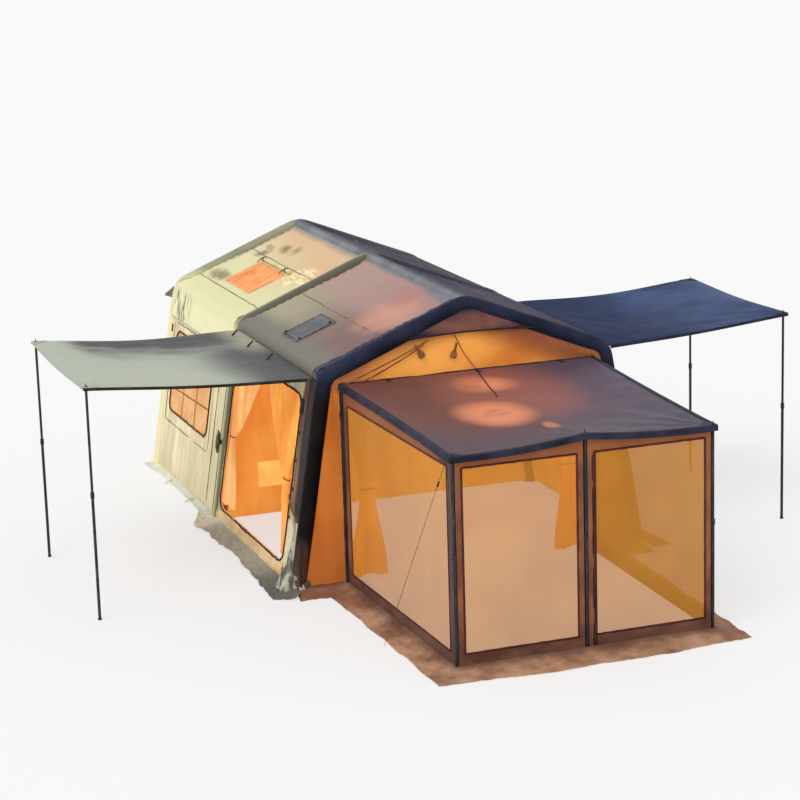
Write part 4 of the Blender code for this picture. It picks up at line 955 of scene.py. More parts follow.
# %% Tones of the awnings
def left_awning_tone(place, x, y, z):
    """Pale grey-green, with dark grey painted shade by the front of the eave and along the back."""
    slow = place.noise(0.9, 3.0)
    out = (x * -0.42 + slow * 0.4).between(0.84, 1.24)
    tone = out.paint((124, 128, 122), (172, 178, 162))
    # painted shade by the front of the eave
    near = (x + slow * 0.5).between(-1.98, -1.42) * (y + slow * 0.3).between(1.95, 1.60)
    tone = (near * 0.9).paint(tone, (58, 60, 64))
    # painted shade along the back edge: in clouds, then a darker band
    cloud = place.noise(3.4, 5.0, 0.62, stretch=(0.6, 1.8, 1.0)).between(0.32, 0.56)
    ends = x.between(-3.30, -2.95)
    back_edge_shade = (y - slow * 0.4).between(1.18, 1.72) * ends
    tone = (back_edge_shade * cloud * 0.85).paint(tone, (74, 76, 76))
    deep_back_shade = (y - slow * 0.3).between(1.50, 1.82) * ends
    tone = (deep_back_shade * 0.85).paint(tone, (60, 62, 64))
    pale = x.between(-1.78, -1.50) * y.between(1.1, 1.9)
    return (pale * 0.8).paint(tone, (170, 168, 142))


def right_awning_tone(place, x, y, z):
    """Slate blue, darker towards the eave."""
    tone = mottled(place, (50, 62, 92), (68, 84, 120), 1.2)
    pale = (place.noise(1.4, 3.0) + (x - 2.6) * 0.35).between(0.58, 0.98)
    tone = (pale * 0.6).paint(tone, (86, 102, 130))
    return (x.between(2.70, 1.80) * 0.85).paint(tone, (22, 32, 66))


LEFT_AWNING = make_cloth("left_awning_cloth", left_awning_tone, 0.56, 0.8, sheen=0.03)
RIGHT_AWNING = make_cloth("right_awning_cloth", right_awning_tone, 0.64, 0.6, sheen=0.0, shine=0.05)
print("cloths so far:", len(bpy.data.materials))

# %% Tones of films and of the flap
def film_tone(place, x, y, z):
    """Orange film, with the painted light and shade of fine folds that run down the slope."""
    # painted light and shade of fine folds
    folds = place.noise(7.0, 4.0, 0.6, stretch=(0.5, 3.0, 0.5)).between(0.36, 0.62)
    return folds.paint((206, 112, 48), (250, 160, 82))


def pane_tone(place, x, y, z):
    """Peach film, a little clouded."""
    folds = place.noise(3.0, 3.0, 0.6).between(0.34, 0.66)
    return folds.paint((224, 156, 92), (240, 182, 114))


def flap_tone(place, x, y, z):
    """Mid grey, with a few paler rubbed places."""
    tone = mottled(place, (84, 87, 92), (112, 114, 118), 3.0)
    return (place.noise(5.0, 4.0).between(0.60, 0.76) * 0.5).paint(tone, (146, 146, 144))


# the films have a slight painted glow
FILM = make_cloth("skylight_film", film_tone, 0.42, 1.4, fine=0.2, painted_glow=0.12)
PANE = make_cloth("window_pane_film", pane_tone, 0.45, 0.6, fine=0.2, painted_glow=0.06)
print("cloths so far:", len(bpy.data.materials))

# %% Trim in one dye
DARK_TRIM = make_cloth("dark_trim_tape", one_dye((34, 28, 30), (58, 48, 48), 8.0), 0.7, 0.2,
                       sheen=0.02, shine=0.12)
NAVY_TRIM = make_cloth("navy_trim_tape", one_dye((26, 28, 44), (46, 48, 68), 5.0), 0.6, 0.3,
                       sheen=0.02, shine=0.12)
RED_TRIM = make_cloth("red_trim_tape", one_dye((58, 22, 20), (94, 38, 30), 9.0), 0.7, 0.2)
SILL = make_cloth("sill_band_cloth", one_dye((228, 188, 136), (250, 222, 170), 4.0), 0.7, 1.0)
# the partition panel has a painted glow
PANEL = make_cloth("partition_panel_cloth", one_dye((246, 190, 98), (255, 216, 132), 2.4),
                   0.7, 0.6, painted_glow=0.55)
STRAP = make_cloth("strap_webbing", one_dye((120, 76, 46), (168, 112, 66), 9.0), 0.8, 0.1, fine=3.0)
FLAP = make_cloth("vent_flap_cloth", flap_tone, 0.6, 0.5)
ROLLED = make_cloth("rolled_cover_cloth", one_dye((206, 196, 150), (238, 230, 186), 6.0), 0.7, 0.6)
SEAM = make_cloth("lapped_seam", one_dye((96, 88, 76), (140, 130, 110), 5.0), 0.7, 0.2)
POCKET = make_cloth("pocket_cloth", one_dye((70, 52, 34), (112, 86, 58), 9.0), 0.7, 0.6)
print("cloths:", len(bpy.data.materials))

# %% Painted metal and moulded plastic
def make_hard(name, dark, light, roughness, metallic, grain, scratches):
    """A dark hard finish: fine grain, and fine scratches along the piece that catch the light."""
    material, shader, place, _ = new_material(name)
    worn = place.noise(90.0, 3.0, 0.6, stretch=(1.0, 1.0, 0.06)).between(0.58, 0.75) * scratches
    colour = worn.paint(mottled(place, dark, light, 14.0), (120, 118, 114))
    rough = place.noise(30.0, 3.0) * 0.20 + (roughness - 0.10)
    relief = place.raised(place.noise(grain, 2.0) * 0.0002, 0.6)
    fill(shader, {"Base Color": colour, "Roughness": rough, "Metallic": metallic, "Normal": relief})
    return material


BLACK_METAL = make_hard("painted_tube", (26, 26, 28), (44, 44, 46), 0.38, 0.4, 260.0, 0.5)
BLACK_PLASTIC = make_hard("moulded_plastic", (22, 22, 22), (38, 38, 38), 0.50, 0.0, 700.0, 0.15)
print("finishes:", len(bpy.data.materials))

# %% [markdown]
# ## Air beams
#
# The arches are inflated tubes in cloth sleeves. A sleeve is a round tube carried along the
# arch's line. It is tight on straight runs and puckers on the inside of its bends. The line
# is the legs' lean and the roof's slope, joined by arcs at the eaves and the ridge.

# %% The arch's line
BASE = np.array([-BASE_HALF_WIDTH + BEAM_RADIUS / math.cos(LEAN), 0.0])
RIDGE = np.array([0.0, RIDGE_HEIGHT - BEAM_RADIUS / math.cos(SLOPE)])
LEG_UP = np.array([math.sin(LEAN), math.cos(LEAN)])
LEG_OUT = np.array([-math.cos(LEAN), math.sin(LEAN)])
ROOF_UP = np.array([math.cos(SLOPE), math.sin(SLOPE)])
EAVE = BASE + LEG_UP * np.linalg.solve(np.array([LEG_UP, -ROOF_UP]).T, RIDGE - BASE)[0]
EAVE_BEAM = along(rounded([BASE, EAVE, RIDGE], [EAVE_BEND])[1:-1], 0.5)
RIDGE_BEAM = along(rounded([EAVE, RIDGE, EAVE * [-1, 1]], [RIDGE_BEND])[1:-1], 0.5)
LEFT_SIDE = rounded([BASE, EAVE, RIDGE, EAVE * [-1, 1]], [EAVE_BEND, RIDGE_BEND])
LEFT_SIDE = np.concatenate([LEFT_SIDE[LEFT_SIDE[:, 0] < 0][:-1], RIDGE_BEAM[None]])
ARCH_LINE = rounded([BASE, EAVE, RIDGE, EAVE * [-1, 1], BASE * [-1, 1]],
                    [EAVE_BEND, RIDGE_BEND, EAVE_BEND])
ARCH_STEPS = 540
ARCH_AROUND = 28
GROUND_GAP = 0.001
KNEE_LENGTH = line_length(ARCH_LINE[:8])
print("eave beam", EAVE_BEAM.round(3), "ridge beam", RIDGE_BEAM.round(3))


# %% Sleeves of the arches
def in_plane(line, y):
    """A flat (x, z) line at the depth y."""
    return grid_of(line[:, 0], y, line[:, 1])


def sleeve_radius(seed, length):
    """The beam's radius, less small puckers round it, deeper near the bends and at the foot."""
    knee = KNEE_LENGTH / length
    bends = [0.0, knee, 0.5, 1 - knee, 1.0]

    def radius(t, angle):
        """Full, less puckers where a bell round a bend is high, less a slow wave."""
        near = sum(np.exp(-((t - at) * length / 0.16) ** 2) for at in bends)
        puckers = np.abs(ripples(t * length, angle * 0.05, 0.06, seed))
        slow = ripples(t * length, angle * BEAM_RADIUS, 0.5, seed + 1)
        return BEAM_RADIUS * (1.0 - 0.05 * near * puckers - 0.012 * (1 + slow))
    return radius


def make_arches():
    """A sleeve round each arch's line, cut level where it meets the ground."""
    for seed, (name, y) in enumerate(ARCH_AT.items()):
        line = in_plane(ARCH_LINE, y)
        tube = swept(line, sleeve_radius(seed, line_length(line)), Y_AXIS, ARCH_STEPS, ARCH_AROUND)
        tube[..., 2] = np.maximum(tube[..., 2], GROUND_GAP)
        material = NAVY_SLEEVE if name == "front" else PALE_SLEEVE
        node = "air_frame" if name == "middle" else "air_arch_" + name
        sleeve = tube_piece("sleeve_" + name, tube, material)
        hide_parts(node)
        "navy_sleeve" if name == "front" else "pale_sleeve"


make_arches()
print("arch length", round(line_length(ARCH_LINE), 2), "m")

# %% Ridge and eave beams
BEAM_STEPS = 160
BEAM_AROUND = 24


def beam_radius(length, seed):
    """The beam's radius, less the slow slack of its sleeve."""
    def radius(t, angle):
        """A fixed share of the beam's radius, less slow folds."""
        slack = np.abs(ripples(t * length, angle * BEAM_RADIUS, 0.25, seed))
        return BEAM_RADIUS * (0.985 - 0.02 * slack)
    return radius


def make_beams():
    """The ridge beam and the two eave beams, straight tubes from arch to arch."""
    places = {"ridge": RIDGE_BEAM, "eave_left": EAVE_BEAM, "eave_right": EAVE_BEAM * [-1, 1]}
    for seed, (name, (x, z)) in enumerate(places.items()):
        for bay, (near, far) in BAYS.items():
            line = np.array([[x, near, z], [x, far, z]])
            radius = beam_radius(far - near, seed + 7)
            tube = swept(line, radius, X_AXIS, BEAM_STEPS, BEAM_AROUND)
            material = RIDGE_SLEEVE if name == "ridge" else PALE_SLEEVE
            beam = tube_piece(f"beam_{name}_{bay}", tube, material)


make_beams()

# %% [markdown]
# ## The roof
#
# Each bay has a sheet on either side: from the ridge beam it runs straight to the eave beam,
# bends round it and hangs as a valance. Between the beams the cloth sinks a little. Tension
# folds fan out of its corners, and fine puckers run along the seams to the arches.

# %% The roof's line
ROOF_LIFT = 0.045
COVER = BEAM_RADIUS + 0.0024
VALANCE = {"front": 0.03, "rear": 0.30}
BEND_STEPS = 12
SEAT = RIDGE_BEAM + ROOF_LIFT * np.array([-math.sin(SLOPE), math.cos(SLOPE)])
TO_EAVE = EAVE_BEAM - SEAT
SHEET_ANGLE = math.atan2(-TO_EAVE[1], -TO_EAVE[0]) - math.asin(COVER / np.hypot(*TO_EAVE))
SHEET_DOWN = -np.array([math.cos(SHEET_ANGLE), math.sin(SHEET_ANGLE)])
SHEET_OUT = np.array([-math.sin(SHEET_ANGLE), math.cos(SHEET_ANGLE)])
SLOPE_RUN = float(np.sqrt(TO_EAVE @ TO_EAVE - COVER ** 2))


def roof_line(valance):
    """(x, z) points down the sheet: the slope, the bend over the eave beam, the valance."""
    first = math.atan2(SHEET_OUT[1], SHEET_OUT[0])
    last = math.atan2(LEG_OUT[1], LEG_OUT[0])
    angle = np.linspace(first, last, BEND_STEPS)
    bend = EAVE_BEAM + COVER * np.stack([np.cos(angle), np.sin(angle)], -1)
    return np.concatenate([SEAT[None], bend, (bend[-1] - LEG_UP * valance)[None]])


print("slope", round(SLOPE_RUN, 3), "m, whole sheet", round(line_length(roof_line(0.30)), 3), "m")

# %% The roof's folds
SEAM_DIP = 0.030


def roof_lift(s, y, near, far, seed):
    """How far the sheet stands off its line: sag, folds from the corners, puckers and ripples.

    Beside an arch it dips, because it is sewn to the sleeve's flank."""
    t = (y - near) / (far - near)
    slope = np.clip(s / SLOPE_RUN, 0, 1)
    inside = arc(np.clip(t, 0, 1)) ** 0.7 * arc(slope) ** 0.8
    free = ease(0.0, 0.12, slope) * (1 - ease(0.86, 0.99, slope))
    seam = np.minimum(np.abs(y - near), np.abs(far - y)) - BEAM_RADIUS
    lift = -0.016 * inside
    dip = ease(0.02, 0.14, slope) * (1 - ease(0.90, 0.98, slope))
    lift = lift - SEAM_DIP * dip * np.exp(-(np.maximum(seam + 0.03, 0) / 0.07) ** 2)
    lift = lift + 0.006 * free * ripples(s, y, 0.55, seed) * ease(0.0, 0.2, seam)
    lift = lift + 0.0045 * free * np.exp(-(seam / 0.16) ** 2) * np.sin(TURN * s / 0.085)
    for corner_s, corner_y in ((0.1, near), (0.1, far), (SLOPE_RUN, near), (SLOPE_RUN, far)):
        lift = lift + 0.007 * free * fan(s, y, corner_s, corner_y, 13, 0.75, seed)
    below = ease(SLOPE_RUN + 0.10, SLOPE_RUN + 0.30, s)
    return lift + below * (0.010 * ripples(y, s * 0.15, 0.30, seed + 5) + 0.010)


print("folds at mid slope:", roof_lift(0.8, np.linspace(0.3, 2.2, 4), *BAYS["front"], 22).round(4))

# %% The roof as a grid
SKYLIGHT = {"s": (0.70, 1.13), "y": (FRONT_BAY + 0.66, FRONT_BAY + 0.66 + 0.87)}
VENT = {"s": (0.95, 1.28), "y": (1.13, 1.45)}
ROOF_SHEETS = {
    ("left", "rear"): (REAR_ROOF, SKYLIGHT, 21),
    ("left", "front"): (FRONT_ROOF, VENT, 22),
    ("right", "rear"): (RIGHT_ROOF, None, 23),
    ("right", "front"): (RIGHT_ROOF, None, 24),
}
SMALL_STEP = 0.004


def roof_grid(s, y, valance, lift):
    """The sheet's points for distances s down from the ridge and depths y."""
    line = roof_line(valance)
    fraction = s / line_length(line)
    at = along(line, fraction)
    before, after = (along(line, np.clip(fraction + way * SMALL_STEP, 0, 1)) for way in (-1, 1))
    ahead = unit(after - before)
    out = np.stack([ahead[:, 1], -ahead[:, 0]], -1)
    grid = at[:, None] + out[:, None] * lift[..., None]
    return grid_of(grid[..., 0], y, grid[..., 1])


def steps_with(low, high, marks, size):
    """Even steps from low to high that also land on the marks, where a hole's edges are."""
    stops = sorted([low, high, *[m for m in marks if low < m < high]])
    counts = [max(2, round((b - a) / size) + 1) for a, b in zip(stops, stops[1:])]
    parts = [np.linspace(a, b, n)[:-1] for a, b, n in zip(stops, stops[1:], counts)]
    return np.concatenate(parts + [[high]])


def hole_calm(s, y, hole):
    """Near a hole's bound edge the cloth lies flat."""
    ds = np.maximum(np.maximum(hole["s"][0] - s, s - hole["s"][1]), 0)
    dy = np.maximum(np.maximum(hole["y"][0] - y, y - hole["y"][1]), 0)
    return ease(0.0, 0.14, np.hypot(ds, dy)) * 0.95 + 0.05


def roof_patch(side, bay, s, y, out=0.0):
    """The bay's roof over distances s and depths y, moved out, without the bay's hole."""
    _, hole, seed = ROOF_SHEETS[side, bay]
    lift = roof_lift(s[:, None], y[None, :], *BAYS[bay], seed)
    keep = None
    if hole:
        mid_s, mid_y = (s[1:] + s[:-1])[:, None] / 2, (y[1:] + y[:-1])[None] / 2
        keep = ~((mid_s > hole["s"][0]) & (mid_s < hole["s"][1])
                 & (mid_y > hole["y"][0]) & (mid_y < hole["y"][1]))
        lift = lift * hole_calm(s[:, None], y[None, :], hole)
    grid = mirror(roof_grid(s, y[None, :], VALANCE[bay], lift + out), SIDES[side])
    return patch(grid, keep, flip=side == "left")


def on_roof(s, y, out=0.0):
    """Points on the left slope's flat line at distances s from the ridge, moved outwards."""
    s, y, out = (np.asarray(v, float) for v in np.broadcast_arrays(s, y, out))
    flat = SEAT + SHEET_DOWN * s[..., None] + SHEET_OUT * out[..., None]
    return grid_of(flat[..., 0], y, flat[..., 1])


print("holes in", sum(hole is not None for _, hole, _ in ROOF_SHEETS.values()), "roof sheets")

# %% Roof sheets
ROOF_EDGE = 0.058
SHEET_STEP_DOWN = 0.018
SHEET_STEP_OVER = 0.024
LINING_STEP = 0.05
LINING_DEPTH = 0.012
LINING_FROM_RIDGE = 0.10
LINING_FROM_EAVE = 0.06


def make_roof_sheet(side, bay):
    """The outer sheet, down to the valance's hem, and the warm lining between the beams."""
    near, far = BAYS[bay]
    material, hole, _ = ROOF_SHEETS[side, bay]
    marks = hole or {"s": (), "y": ()}
    s = steps_with(0.0, line_length(roof_line(VALANCE[bay])), marks["s"], SHEET_STEP_DOWN)
    y = steps_with(near + ROOF_EDGE, far - ROOF_EDGE, marks["y"], SHEET_STEP_OVER)
    sheet = sewn(f"roof_sheet_{side}_{bay}", [roof_patch(side, bay, s, y)], material, CLOTH)
    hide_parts(f"roof_{side}_{bay}")
    "mauve_canvas" if bay == "front" else "cream_canvas"
    as_sheet(sheet, float(s[-1]), float(y[-1] - y[0]), "stretched", ["sleeve_middle"])
    s = steps_with(LINING_FROM_RIDGE, SLOPE_RUN - LINING_FROM_EAVE, marks["s"], LINING_STEP)
    y = steps_with(near + BEAM_RADIUS, far - BEAM_RADIUS, marks["y"], LINING_STEP)
    inner = roof_patch(side, bay, s, y, -LINING_DEPTH)
    lining = sewn(f"roof_lining_{side}_{bay}", [inner], LINING, CLOTH)
    as_sheet(lining, float(s[-1] - s[0]), float(y[-1] - y[0]), "stretched", ["sleeve_middle"])


for side, bay in ROOF_SHEETS:
    make_roof_sheet(side, bay)

# %% [markdown]
# ## Side walls
#
# The walls lean with the arches' legs and are drawn tight between them. A doorway or a window
# is a hole with round corners, so the wall is a ring of cloth: one side of the grid follows
# the hole, the other the wall's own edge. Inside hangs the warm lining that one sees through
# the openings.

# %% The wall's plane and its openings
WALL_LIFT = 0.04
WALL_FOOT = 0.02
WALL_TOP = EAVE_BEAM[1] / math.cos(LEAN)
OUTWARD = np.array([LEG_OUT[0], 0.0, LEG_OUT[1]])
WINDOW = {"y": (FRONT_BAY + 0.62, FRONT_BAY + 2.04), "h": (0.70, 1.54), "corner": 0.10}
DOOR = {"y": (0.39, FRONT_BAY - 0.11), "h": (0.17, 1.72), "corner": 0.12}


def on_wall(y, h, out=0.0):
    """Points of the left wall at depth y and height h along the lean, moved outwards."""
    x = BASE[0] - (WALL_LIFT + out) / math.cos(LEAN) + h * math.sin(LEAN)
    return grid_of(x, y, h * math.cos(LEAN))


print("wall", round(WALL_TOP, 3), "m high, door", round(DOOR["y"][1] - DOOR["y"][0], 2), "m wide")


# %% Rings round a hole
def outline(low, high, radius, count):
    """A rectangle with round corners as four sides, each from corner middle to corner middle."""
    (x0, z0), (x1, z1) = low, high
    corners = [np.array(c, float) for c in ((x0, z0), (x1, z0), (x1, z1), (x0, z1))]
    sides = []
    for k in range(4):
        before, start, end, after = (corners[(k + n) % 4] for n in (-1, 0, 1, 2))
        path = rounded([(before + start) / 2, start, end, (end + after) / 2], [radius, radius])
        total = line_length(path)
        skip_first = np.linalg.norm(start - before) / 2 - radius * (1 - math.pi / 4)
        skip_last = np.linalg.norm(after - end) / 2 - radius * (1 - math.pi / 4)
        t = np.linspace(skip_first / total, 1 - skip_last / total, count)[:-1]
        sides.append(along(path, t))
    return np.concatenate(sides)


def ring_grid(inner, outer, rings):
    """Rows of points from a hole's outline out to the wall's own outline."""
    t = np.linspace(0, 1, rings)[:, None, None]
    return inner[None] * (1 - t) + outer[None] * t


corner_test = outline((0, 0), (2, 1), 0.2, 50)
print("an outline of", len(corner_test), "points is", round(line_length(corner_test), 2), "m long")

# %% Side walls and their linings
WALL_OUTLINE = 70
WALL_RINGS = 30


def wall_slack(y, h, seed):
    """Upright folds that fade at mid height, and a slow billow."""
    upright = ripples(y, h * 0.08, 0.16, seed) * (0.35 + 0.65 * np.abs(h - 0.9))
    billow = 0.007 * ripples(y, h, 0.9, seed + 1)
    return 0.006 * upright + billow + 0.003 * creases(y, h, 0.5, seed + 2)


def make_side_wall(side, bay, seed):
    """A ring of cloth round the bay's hole, and the lining's ring behind it."""
    near, far = BAYS[bay]
    hole = DOOR if bay == "front" else WINDOW
    low, high = zip(hole["y"], hole["h"])
    inner = outline(low, high, hole["corner"], WALL_OUTLINE)
    outer = outline((near, WALL_FOOT), (far, WALL_TOP), 0.0, WALL_OUTLINE)
    ring = ring_grid(inner, outer, WALL_RINGS)
    y, h = ring[..., 0], ring[..., 1]
    calm = steps_down(WALL_RINGS)
    slack = wall_slack(y, h, seed) * ease(0.0, 0.25, calm) * (1 - ease(0.85, 1.0, calm) * 0.6)
    way = SIDES[side]
    grid = mirror(on_wall(y, h, slack), way)
    sheet = piece(f"wall_sheet_{side}_{bay}", grid, SIDE_WALL, CLOTH, closed=True, flip=way > 0)
    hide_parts(f"wall_{side}_{bay}")
    as_sheet(sheet, far - near, WALL_TOP, "stretched", ["sleeve_middle"])
    grid = mirror(on_wall(y, h, slack * 0.7 - LINING_DEPTH), way)
    lining = piece(f"wall_lining_{side}_{bay}", grid, LINING, CLOTH, closed=True, flip=way > 0)
    as_sheet(lining, far - near, WALL_TOP, "stretched", ["sleeve_middle"])


for seed, (side, bay) in enumerate([(s, b) for s in SIDES for b in BAYS]):
    make_side_wall(side, bay, 31 + 3 * seed)

# %% Panes and door panels
HOLE_GAP = 0.001
PANEL_ROWS = 66
PANEL_COLUMNS = 88


def rounded_field(hole, shrink, rows, columns):
    """A grid that fills a rectangle with round corners: each row is as wide as the outline."""
    y0, y1 = hole["y"][0] + shrink, hole["y"][1] - shrink
    h0, h1 = hole["h"][0] + shrink, hole["h"][1] - shrink
    radius = hole["corner"] - shrink
    h = steps_down(rows, h0, h1)
    short = np.maximum(radius - np.minimum(h - h0, h1 - h), 0.0)
    inset = radius - np.sqrt(np.maximum(radius ** 2 - short ** 2, 0.0))
    u = steps_over(columns)
    return y0 + inset + (y1 - y0 - 2 * inset) * u, np.broadcast_to(h, (rows, columns))


def make_panel(name, side, hole, material, node, out, seed):
    """A pane or a door panel in its opening, puckered along its zip."""
    y, h = rounded_field(hole, HOLE_GAP, PANEL_ROWS, PANEL_COLUMNS)
    edge = np.minimum(np.minimum(y - hole["y"][0], hole["y"][1] - y),
                      np.minimum(h - hole["h"][0], hole["h"][1] - h))
    puckers = np.exp(-(edge / 0.06) ** 2) * np.sin((y + h) * 60)
    slack = 0.004 * ripples(y, h, 0.35, seed) + 0.003 * puckers
    grid = mirror(on_wall(y, h, out + slack * ease(0, 0.05, edge)), SIDES[side])
    sheet = piece(name, grid, material, CLOTH, flip=side == "right")
    if node:
        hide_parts(node)
    as_sheet(sheet, hole["y"][1] - hole["y"][0], hole["h"][1] - hole["h"][0], "stretched",
             [f"wall_sheet_{side}_front"])


make_panel("window_pane_left", "left", WINDOW, PANE, "window_left", 0.0, 51)
make_panel("window_pane_right", "right", WINDOW, PANE, "window_right", 0.0, 52)
make_panel("door_sheet_right", "right", DOOR, SIDE_WALL, "door_panel_right",
           0.0, 53)
make_panel("door_lining_right", "right", DOOR, LINING, None, -LINING_DEPTH, 54)
print("pane", round(WINDOW["y"][1] - WINDOW["y"][0], 2), "m wide")

# %% [markdown]
# ## Front wall, partition and rear wall
#
# These sheets fill an arch. Each row of the grid is as wide as the arch at its height, so the
# edge follows the legs, the eave bend and the slope with no cutting. The front wall leaves out
# the doorway, so it is three such grids: a strip on each side and the gable above.

# %% Sheets that fill an arch
def arch_half_width(z):
    """Half the arch's width at a height, along its centre line."""
    return -np.interp(z, LEFT_SIDE[:, 1], LEFT_SIDE[:, 0])


def arch_field(z0, z1, rows, columns, left=None, right=None):
    """Rows across an arch between two heights; left or right replaces the arch on that side."""
    z = steps_down(rows, z0, z1)
    wide = arch_half_width(z)
    start = -wide if left is None else np.full_like(z, left)
    end = wide if right is None else np.full_like(z, right)
    u = steps_over(columns)
    return start + (end - start) * u, np.broadcast_to(z, (rows, columns))


print("half width at 1 m:", round(float(arch_half_width(1.0)), 3))

# %% Front wall, partition and rear wall
DOORWAY_HALF_WIDTH = 1.15
DOORWAY_HEAD = 1.80
PARTITION_LIFT = 0.04
GABLE_TOP = RIDGE_BEAM[1] - 0.01
END_WALL_CUT = (3.3, 2.5)
STRIP_GRID = (90, 30)
GABLE_GRID = (52, 150)
FULL_GRID = (100, 110)


def end_wall_slack(x, z, seed):
    """Folds that hang from the arch and run to the feet, and a slow billow."""
    hang = ripples(x, z * 0.12, 0.17, seed) * (0.4 + 0.6 * np.abs(z - 1.2))
    corner = sum(fan(x, z, way * 1.30, 1.88, 11, 0.8, seed) for way in (-1, 1))
    return 0.006 * hang + 0.008 * ripples(x, z, 0.8, seed + 1) + 0.008 * corner


def end_wall(x, z, y, seed):
    """The points (x, z) at the depth y, with their folds."""
    return grid_of(x, y + end_wall_slack(x, z, seed), z)


def make_front_wall():
    """Three fields round the doorway: a strip on each side and the gable."""
    fields = [arch_field(WALL_FOOT, DOORWAY_HEAD, *STRIP_GRID, right=-DOORWAY_HALF_WIDTH),
              arch_field(WALL_FOOT, DOORWAY_HEAD, *STRIP_GRID, left=DOORWAY_HALF_WIDTH),
              arch_field(DOORWAY_HEAD, GABLE_TOP, *GABLE_GRID)]
    patches = [patch(end_wall(x, z, -WALL_LIFT, 61), flip=True) for x, z in fields]
    sheet = sewn("front_wall_sheet", patches, FRONT_WALL, CLOTH)
    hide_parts("wall_front")
    as_sheet(sheet, *END_WALL_CUT, "stretched", ["sleeve_front"])


def make_full_wall(name, node, y, material, flip, seed):
    """One field from leg to leg and from the foot to the ridge."""
    x, z = arch_field(WALL_FOOT, GABLE_TOP, *FULL_GRID)
    sheet = piece(name, end_wall(x, z, y, seed), material, CLOTH, flip=flip)
    if node:
        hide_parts(node)
    as_sheet(sheet, *END_WALL_CUT, "stretched", ["sleeve_middle"])


make_front_wall()
make_full_wall("partition_sheet", "partition", FRONT_BAY - PARTITION_LIFT, LINING, True, 64)
REAR_WALL_Y = CABIN_LENGTH + WALL_LIFT
make_full_wall("rear_wall_sheet", "wall_rear", REAR_WALL_Y, SIDE_WALL, False, 67)
make_full_wall("rear_wall_lining", None, REAR_WALL_Y - LINING_DEPTH, LINING, False, 67)
print("rear wall at", round(float(REAR_WALL_Y), 3), "m")

# %% The gusset in front of the gable
GUSSET_FOOT = 2.195
GUSSET_RISE = 0.035
GUSSET_LIFT = 0.062
GUSSET_CUT_HEIGHT = 0.35


def make_gusset():
    """The cloth between the front arch's two slopes and a nearly level hem."""
    z = steps_down(40)
    u = steps_over(120, -1, 1)
    foot = GUSSET_FOOT + GUSSET_RISE * (1 - u ** 2)
    wide = float(arch_half_width(GUSSET_FOOT))
    top = np.interp(np.abs(u) * wide, -LEFT_SIDE[::-1, 0], LEFT_SIDE[::-1, 1])
    height = foot + (np.maximum(top, foot + 0.002) - foot) * z
    x = np.broadcast_to(u * wide, height.shape)
    y = -GUSSET_LIFT + 0.004 * ripples(x, height, 0.3, 71) * (1 - z)
    sheet = piece("front_gusset", grid_of(x, y, height), GUSSET, CLOTH, flip=True)
    as_sheet(sheet, 2 * wide, GUSSET_CUT_HEIGHT, "stretched", ["sleeve_front"])
    hem = grid_of(u[0] * wide, -GUSSET_LIFT, foot[0])
    made = band("front_gusset_hem", hem, 0.014, (0, -1, 0), DARK_TRIM, lift=0.004)


make_gusset()
print("gusset", round(2 * float(arch_half_width(GUSSET_FOOT)), 3), "m wide")

# %% [markdown]
# ## Curtains
#
# A tied-back curtain is a wide cloth pressed into pleats: wide at the rail, squeezed at its
# tie, loose again below. The pleats keep their number all the way down, so they get steeper
# where the cloth is narrow. That is a sine across the width whose depth grows as it narrows.

# %% The outline of a tied-back curtain
CURTAIN_TIE = 0.88
CURTAIN_SWEEP = 0.8
CURTAIN_BACK_AT_POST = 0.75
DOOR_CURTAIN = {"foot": 0.205, "head": 1.75}
DOORWAY_CURTAIN = {"foot": 0.06, "head": 1.83}


def curtain_edges(z, rail, widths):
    """Distances of both edges from the post, by height.

    widths are those at the rail and the foot, then where the tie starts and how wide it is.
    The free edge eases from the foot to the tie, then rises as a power of the height; the
    post edge leaves its post only round the tie.
    """
    top_width, foot_width, tie_from, tie_width = widths
    above = np.clip((z - CURTAIN_TIE) / (rail["head"] - CURTAIN_TIE), 0, 1)
    below = np.clip((z - rail["foot"]) / (CURTAIN_TIE - rail["foot"]), 0, 1)
    drawn = ease(0.0, 1.0, below)
    post = tie_from * drawn * (1 - ease(0.0, CURTAIN_BACK_AT_POST, above))
    tied = tie_from + tie_width
    free = foot_width + (tied - foot_width) * drawn + (top_width - tied) * above ** CURTAIN_SWEEP
    return post, free


print("curtain", round(DOORWAY_CURTAIN["head"] - DOORWAY_CURTAIN["foot"], 2), "m long")

# %% Pleats
CURTAIN_PLEATS = 9
CURTAIN_ROWS = 110
CURTAIN_COLUMNS = 150


def curtain_grid(place, rail, widths, seed):
    """Pleats across and down; place(distance, z, depth) puts them in the tent."""
    v = steps_down(CURTAIN_ROWS)
    u = steps_over(CURTAIN_COLUMNS)
    z = rail["foot"] + (rail["head"] - rail["foot"]) * v
    start, end = curtain_edges(z, rail, widths)
    near_tie = np.exp(-((z - CURTAIN_TIE) / 0.10) ** 2)
    depth = 0.021 - 0.004 * near_tie
    drift = 0.35 * np.sin(2.1 * z + seed) + 0.25 * u * np.sin(5.3 * z + 2 * seed)
    uneven = u + 0.03 * np.sin(TURN * 2.3 * u + seed)
    pleats = np.sin(TURN * CURTAIN_PLEATS * uneven + drift)
    fine = 0.3 * np.sin(TURN * 2.7 * CURTAIN_PLEATS * uneven + 3 * drift)
    wave = depth * (pleats + fine * (1 - near_tie)) / 1.3
    distance = start + (end - start) * u
    sway = 0.010 * np.sin(7 * z + seed) * (1 - near_tie) * arc(u)
    foot_wave = 0.015 * (1 - v) ** 6 * (1 + np.sin(9 * u + seed))
    return place(distance + sway, np.broadcast_to(z, distance.shape) + foot_wave, wave)


print("pleats on a curtain:", CURTAIN_PLEATS)

